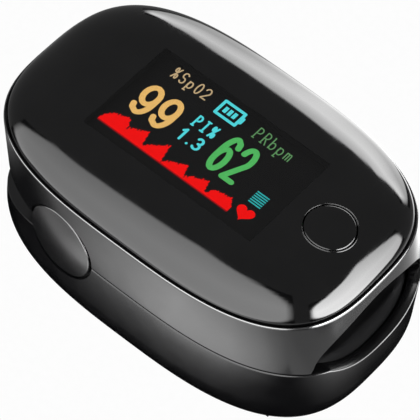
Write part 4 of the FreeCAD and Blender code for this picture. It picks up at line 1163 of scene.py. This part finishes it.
def lit_beads():
    """Clear resin beads that glow deep red."""
    material = moulded("led_resin", (0.5, 0.03, 0.02), (0.7, 0.06, 0.03), (0.05, 0.12))
    shader = principled(material)
    shader.inputs["Emission Color"].default_value = (1.0, 0.04, 0.02, 1)
    shader.inputs["Emission Strength"].default_value = 0.8
    return material


# ------------------------------------------------------------------------ light and camera

def lens_point(turn, rise):
    """A place on the lens's curved border: angles round the lens and up the roll."""
    inset = LENS_INSET + LENS_ROLL_OFF * (1 - math.cos(rise))
    return rim_point(turn, inset, LENS_EDGE + (LENS_TOP - LENS_EDGE) * math.sin(rise))


def mirror_direction(turn, rise):
    """A place on the lens's border and where the camera's view goes from it."""
    point, step = lens_point(turn, rise), 0.002
    along = lens_point(turn + step, rise) - lens_point(turn - step, rise)
    upward = lens_point(turn, rise + step) - lens_point(turn, rise - step)
    normal = along.cross(upward).normalized()
    sight = (point - CAMERA_PLACE).normalized()
    return point, sight - normal * 2 * sight.dot(normal)


def soft_patch(u, v, soft, corner):
    """1 in the middle of a patch, fading to 0 at its rounded border."""
    fade = (1 - abs(2 * u - 1) ** corner - abs(2 * v - 1) ** 4) / soft
    fade = max(0.0, min(1.0, fade))
    return fade * fade * (3 - 2 * fade)


def lens_card(name, turns, low_rises, high_rises, radiance, across, soft, corner):
    """A glowing patch of the surroundings that a stretch of the lens's border mirrors.

    The turns run from start to end in degrees; the rises are lists of (share of the stretch,
    degrees).  The radiance runs from start to end, and is scaled by three values across.
    Soft is the width of the faded edge and corner the roundness of the ends."""
    rows, columns_count, distance = 20, 72, 600.0
    points, levels = [], []
    for row in range(rows + 1):
        for column in range(columns_count + 1):
            u, v = column / columns_count, row / rows
            turn = math.radians(turns[0] + (turns[1] - turns[0]) * u)
            low, high = looked_up(low_rises, u), looked_up(high_rises, u)
            point, heading = mirror_direction(turn, math.radians(low + (high - low) * v))
            points.append(point + heading * distance)
            level = radiance[0] + (radiance[1] - radiance[0]) * u
            levels.append(level * looked_up(across, v) * soft_patch(u, v, soft, corner))
    faces = []
    for row in range(rows):
        for column in range(columns_count):
            first = row * (columns_count + 1) + column
            faces.append((first, first + 1, first + columns_count + 2, first + columns_count + 1))
    material, graph, glow = new_glow(name)
    graph.fill(glow, {"Strength": graph.add("Attribute", attribute_name="level").outputs["Fac"]})
    card = new_piece(name, points, faces, material)
    card.data.attributes.new("level", "FLOAT", "POINT").data.foreach_set("value", levels)
    only_reflected(card)


def looked_up(stops, share):
    """Value between stops of (share, value)."""
    for (start, first), (stop, last) in zip(stops, stops[1:]):
        if share <= stop:
            return first + (last - first) * (share - start) / (stop - start)
    return stops[-1][1]


def only_reflected(item):
    """Leaves an item visible to reflections alone, and out of the object."""
    item.visible_camera = False
    item.visible_diffuse = False
    item.visible_transmission = False
    item.visible_volume_scatter = False
    item.visible_shadow = False


def build_surroundings():
    """White world for the camera, even light for matt surfaces and a dim one for reflections."""
    world = bpy.data.worlds.new("studio")
    bpy.context.scene.world = world
    world.use_nodes = True
    graph = Graph(world.node_tree)
    rays = graph.add("LightPath").outputs
    colour = (0.85, 0.85, 0.85, 1)
    for ray, level in (("Is Camera Ray", 0.985), ("Is Glossy Ray", 0.20)):
        inputs = {"A": colour, "B": (level, level, level, 1), "Factor": rays[ray]}
        colour = graph.add("Mix", inputs, data_type="RGBA").outputs["Result"]
    graph.fill(world.node_tree.nodes["Background"], {"Color": colour})


def glowing_sheet(name, size, level, material):
    """A level sheet of light, its size and height in metres."""
    bpy.ops.mesh.primitive_plane_add(size=size, location=(0, 0, level))
    sheet = bpy.context.object
    sheet.name = name
    sheet.data.materials.append(material)
    return sheet


def build_floor():
    """A plain pale floor, hidden from reflections."""
    material, graph, glow = new_glow("floor_paper")
    grain = noise(graph, 900, 2)
    graph.fill(glow, {"Color": mottled(graph, grain, (0.975, 0.975, 0.975), (0.985, 0.985, 0.985))})
    floor = glowing_sheet("floor", 4.0, 0.0, material)
    floor.visible_glossy = False
    floor.visible_shadow = False


def build_floor_reflection():
    """The floor as the glossy walls see it, a painted reflection: painted shade makes it dark under the
    object and dimmer towards both ends, bright beyond.
    """
    material, graph, glow = new_glow("floor_reflection")
    axes = graph.axes()
    beyond = []
    for axis, half in (("X", BODY["length"]), ("Y", BODY["width"])):
        beyond.append(graph.math("SUBTRACT", graph.math("ABSOLUTE", axes[axis]), half * MM))
    # painted shade: the mirrored floor darkens close round the body, standing for the shadow that the object
    # casts
    away = ramp_along(graph, graph.math("MAXIMUM", *beyond), 0.0, 0.020,
                      ((0.0, 0.0), (0.2, 0.02), (0.3, 0.16), (0.4, 0.5),
                       (0.49, 0.85), (0.53, 2.7), (0.8, 3.1), (1.0, 2.4)))
    # painted shade: the mirrored floor dims towards the rear and the front
    ends = ramp_along(graph, axes["X"], -0.045, 0.045,
                      ((0.0, 0.10), (0.25, 0.25), (0.40, 0.6), (0.52, 0.95),
                       (0.70, 1.0), (0.84, 0.72), (0.9, 0.5), (1.0, 0.3)))
    graph.fill(glow, {"Strength": graph.math("MULTIPLY", away, ends)})
    only_reflected(glowing_sheet("floor_reflection", 0.13, -0.0002, material))


def ramp_along(graph, value, low, high, stops):
    """A value looked up along a range; the stops are (share of the range, result)."""
    share = graph.add("MapRange", {"From Min": low, "From Max": high, "Value": value})
    curve = graph.add("FloatCurve", {"Value": share.outputs["Result"]})
    top = max(result for _, result in stops)
    line = curve.mapping.curves[0]
    line.points[0].location = (stops[0][0], stops[0][1] / top)
    line.points[1].location = (stops[-1][0], stops[-1][1] / top)
    for position, result in stops[1:-1]:
        line.points.new(position, result / top)
    for point in line.points:
        point.handle_type = "VECTOR"
    curve.mapping.update()
    return graph.math("MULTIPLY", curve.outputs["Value"], top)


def build_cards():
    lens_card("near_card", (224.0, 321.5), ((0, 10), (0.2, 3), (1, 3)),
              ((0, 38), (0.12, 54), (0.3, 60), (0.7, 65), (0.9, 56), (1, 46)),
              (3.2, 4.8), ((0, 1.0), (0.6, 1.1), (1, 0.85)), 0.3, 6)
    lens_card("front_card", (326.5, 382.0), ((0, 5), (1, 18)), ((0, 34), (0.5, 48), (1, 40)),
              (19.0, 8.0), ((0, 0.8), (0.5, 1.05), (1, 0.8)), 0.25, 4)
    lens_card("far_card", (139.0, 35.0), ((0, 42), (0.3, 34), (0.6, 18), (1, 26)),
              ((0, 54), (0.1, 68), (0.25, 76), (0.7, 77), (0.9, 66), (1, 42)),
              (6.0, 8.5), ((0, 0.3), (0.35, 0.55), (0.7, 1.3), (1, 0.9)), 0.2, 4)


def build_camera():
    data = bpy.data.cameras.new("camera")
    data.sensor_width = 36.0
    data.lens = 280.0
    data.clip_start = 0.01
    data.clip_end = 10.0
    camera = bpy.data.objects.new("camera", data)
    bpy.context.scene.collection.objects.link(camera)
    axes = Matrix(CAMERA_AXES).transposed().to_4x4()
    camera.matrix_world = Matrix.Translation(CAMERA_PLACE * MM) @ axes
    bpy.context.scene.camera = camera


def build_lamp():
    """One soft lamp over the left shoulder shapes the matt parts."""
    data = bpy.data.lights.new("soft_lamp", "AREA")
    data.shape = "DISK"
    data.size = 0.4
    data.energy = 1.6
    lamp = bpy.data.objects.new("soft_lamp", data)
    bpy.context.scene.collection.objects.link(lamp)
    lamp.location = (-0.25, -0.3, 0.5)
    lamp.rotation_euler = (-lamp.location).to_track_quat("-Z", "Y").to_euler()
    lamp.visible_glossy = False


def build_object():
    # painted shade: the lower housing, its ears and inner walls get a darker, less shiny copy of the upper
    # housing's black, standing for the shade near the floor
    lit_upper_black = (0.004, 0.004, 0.0045), (0.006, 0.006, 0.0065)
    shaded_lower_black = (0.003, 0.003, 0.0035), (0.005, 0.005, 0.0055)
    upper_gloss = moulded("housing_gloss_upper", *lit_upper_black, (0.12, 0.18), 1.55)
    shaded_lower_gloss = moulded("housing_gloss_shaded_lower", *shaded_lower_black, (0.14, 0.20))
    build_upper_housing(upper_gloss)
    # painted highlight: the rim bead's black is lighter and far more reflective than the housing's
    build_rim_bead(moulded("rim_highlight_polish", (0.012, 0.012, 0.013), (0.018, 0.018, 0.019), (0.08, 0.14), 2.6))
    build_lower_housing(shaded_lower_gloss)
    door_black = (0.010, 0.010, 0.011), (0.016, 0.016, 0.017)
    build_door(moulded("door_plastic", *door_black, (0.2, 0.3), 1.5, 0.01))
    lens = smoked_lens()
    build_lens(lens)
    build_button_bezel(lens)
    build_button(moulded("button_gloss", *GLOSS_BLACK, (0.07, 0.12)))
    build_caps(moulded("cap_plastic", (0.006, 0.006, 0.0065), (0.009, 0.009, 0.0095), (0.15, 0.22), 1.85))
    pad_black = (0.004, 0.004, 0.0045), (0.008, 0.008, 0.0085)
    silicone = moulded("pad_silicone", *pad_black, (0.5, 0.65), 1.35, 0.02)
    principled(silicone).inputs["Specular IOR Level"].default_value = 0.12
    build_upper_pad(silicone)
    build_lower_pad(silicone)
    build_ears(shaded_lower_gloss)
    build_inner_walls(shaded_lower_gloss)
    build_inner_materials()
    build_jaw_springs(metal("spring_steel", (0.42, 0.42, 0.44), (0.60, 0.60, 0.62), (0.2, 0.35), (1, 1, 1)))
    build_cable(moulded("cable_film", *POLYIMIDE, (0.2, 0.35), 1.6))
    build_display()


build_object()
build_surroundings()
build_floor()
build_floor_reflection()
build_cards()
build_lamp()
build_camera()
bpy.context.scene.view_settings.view_transform = "Standard"
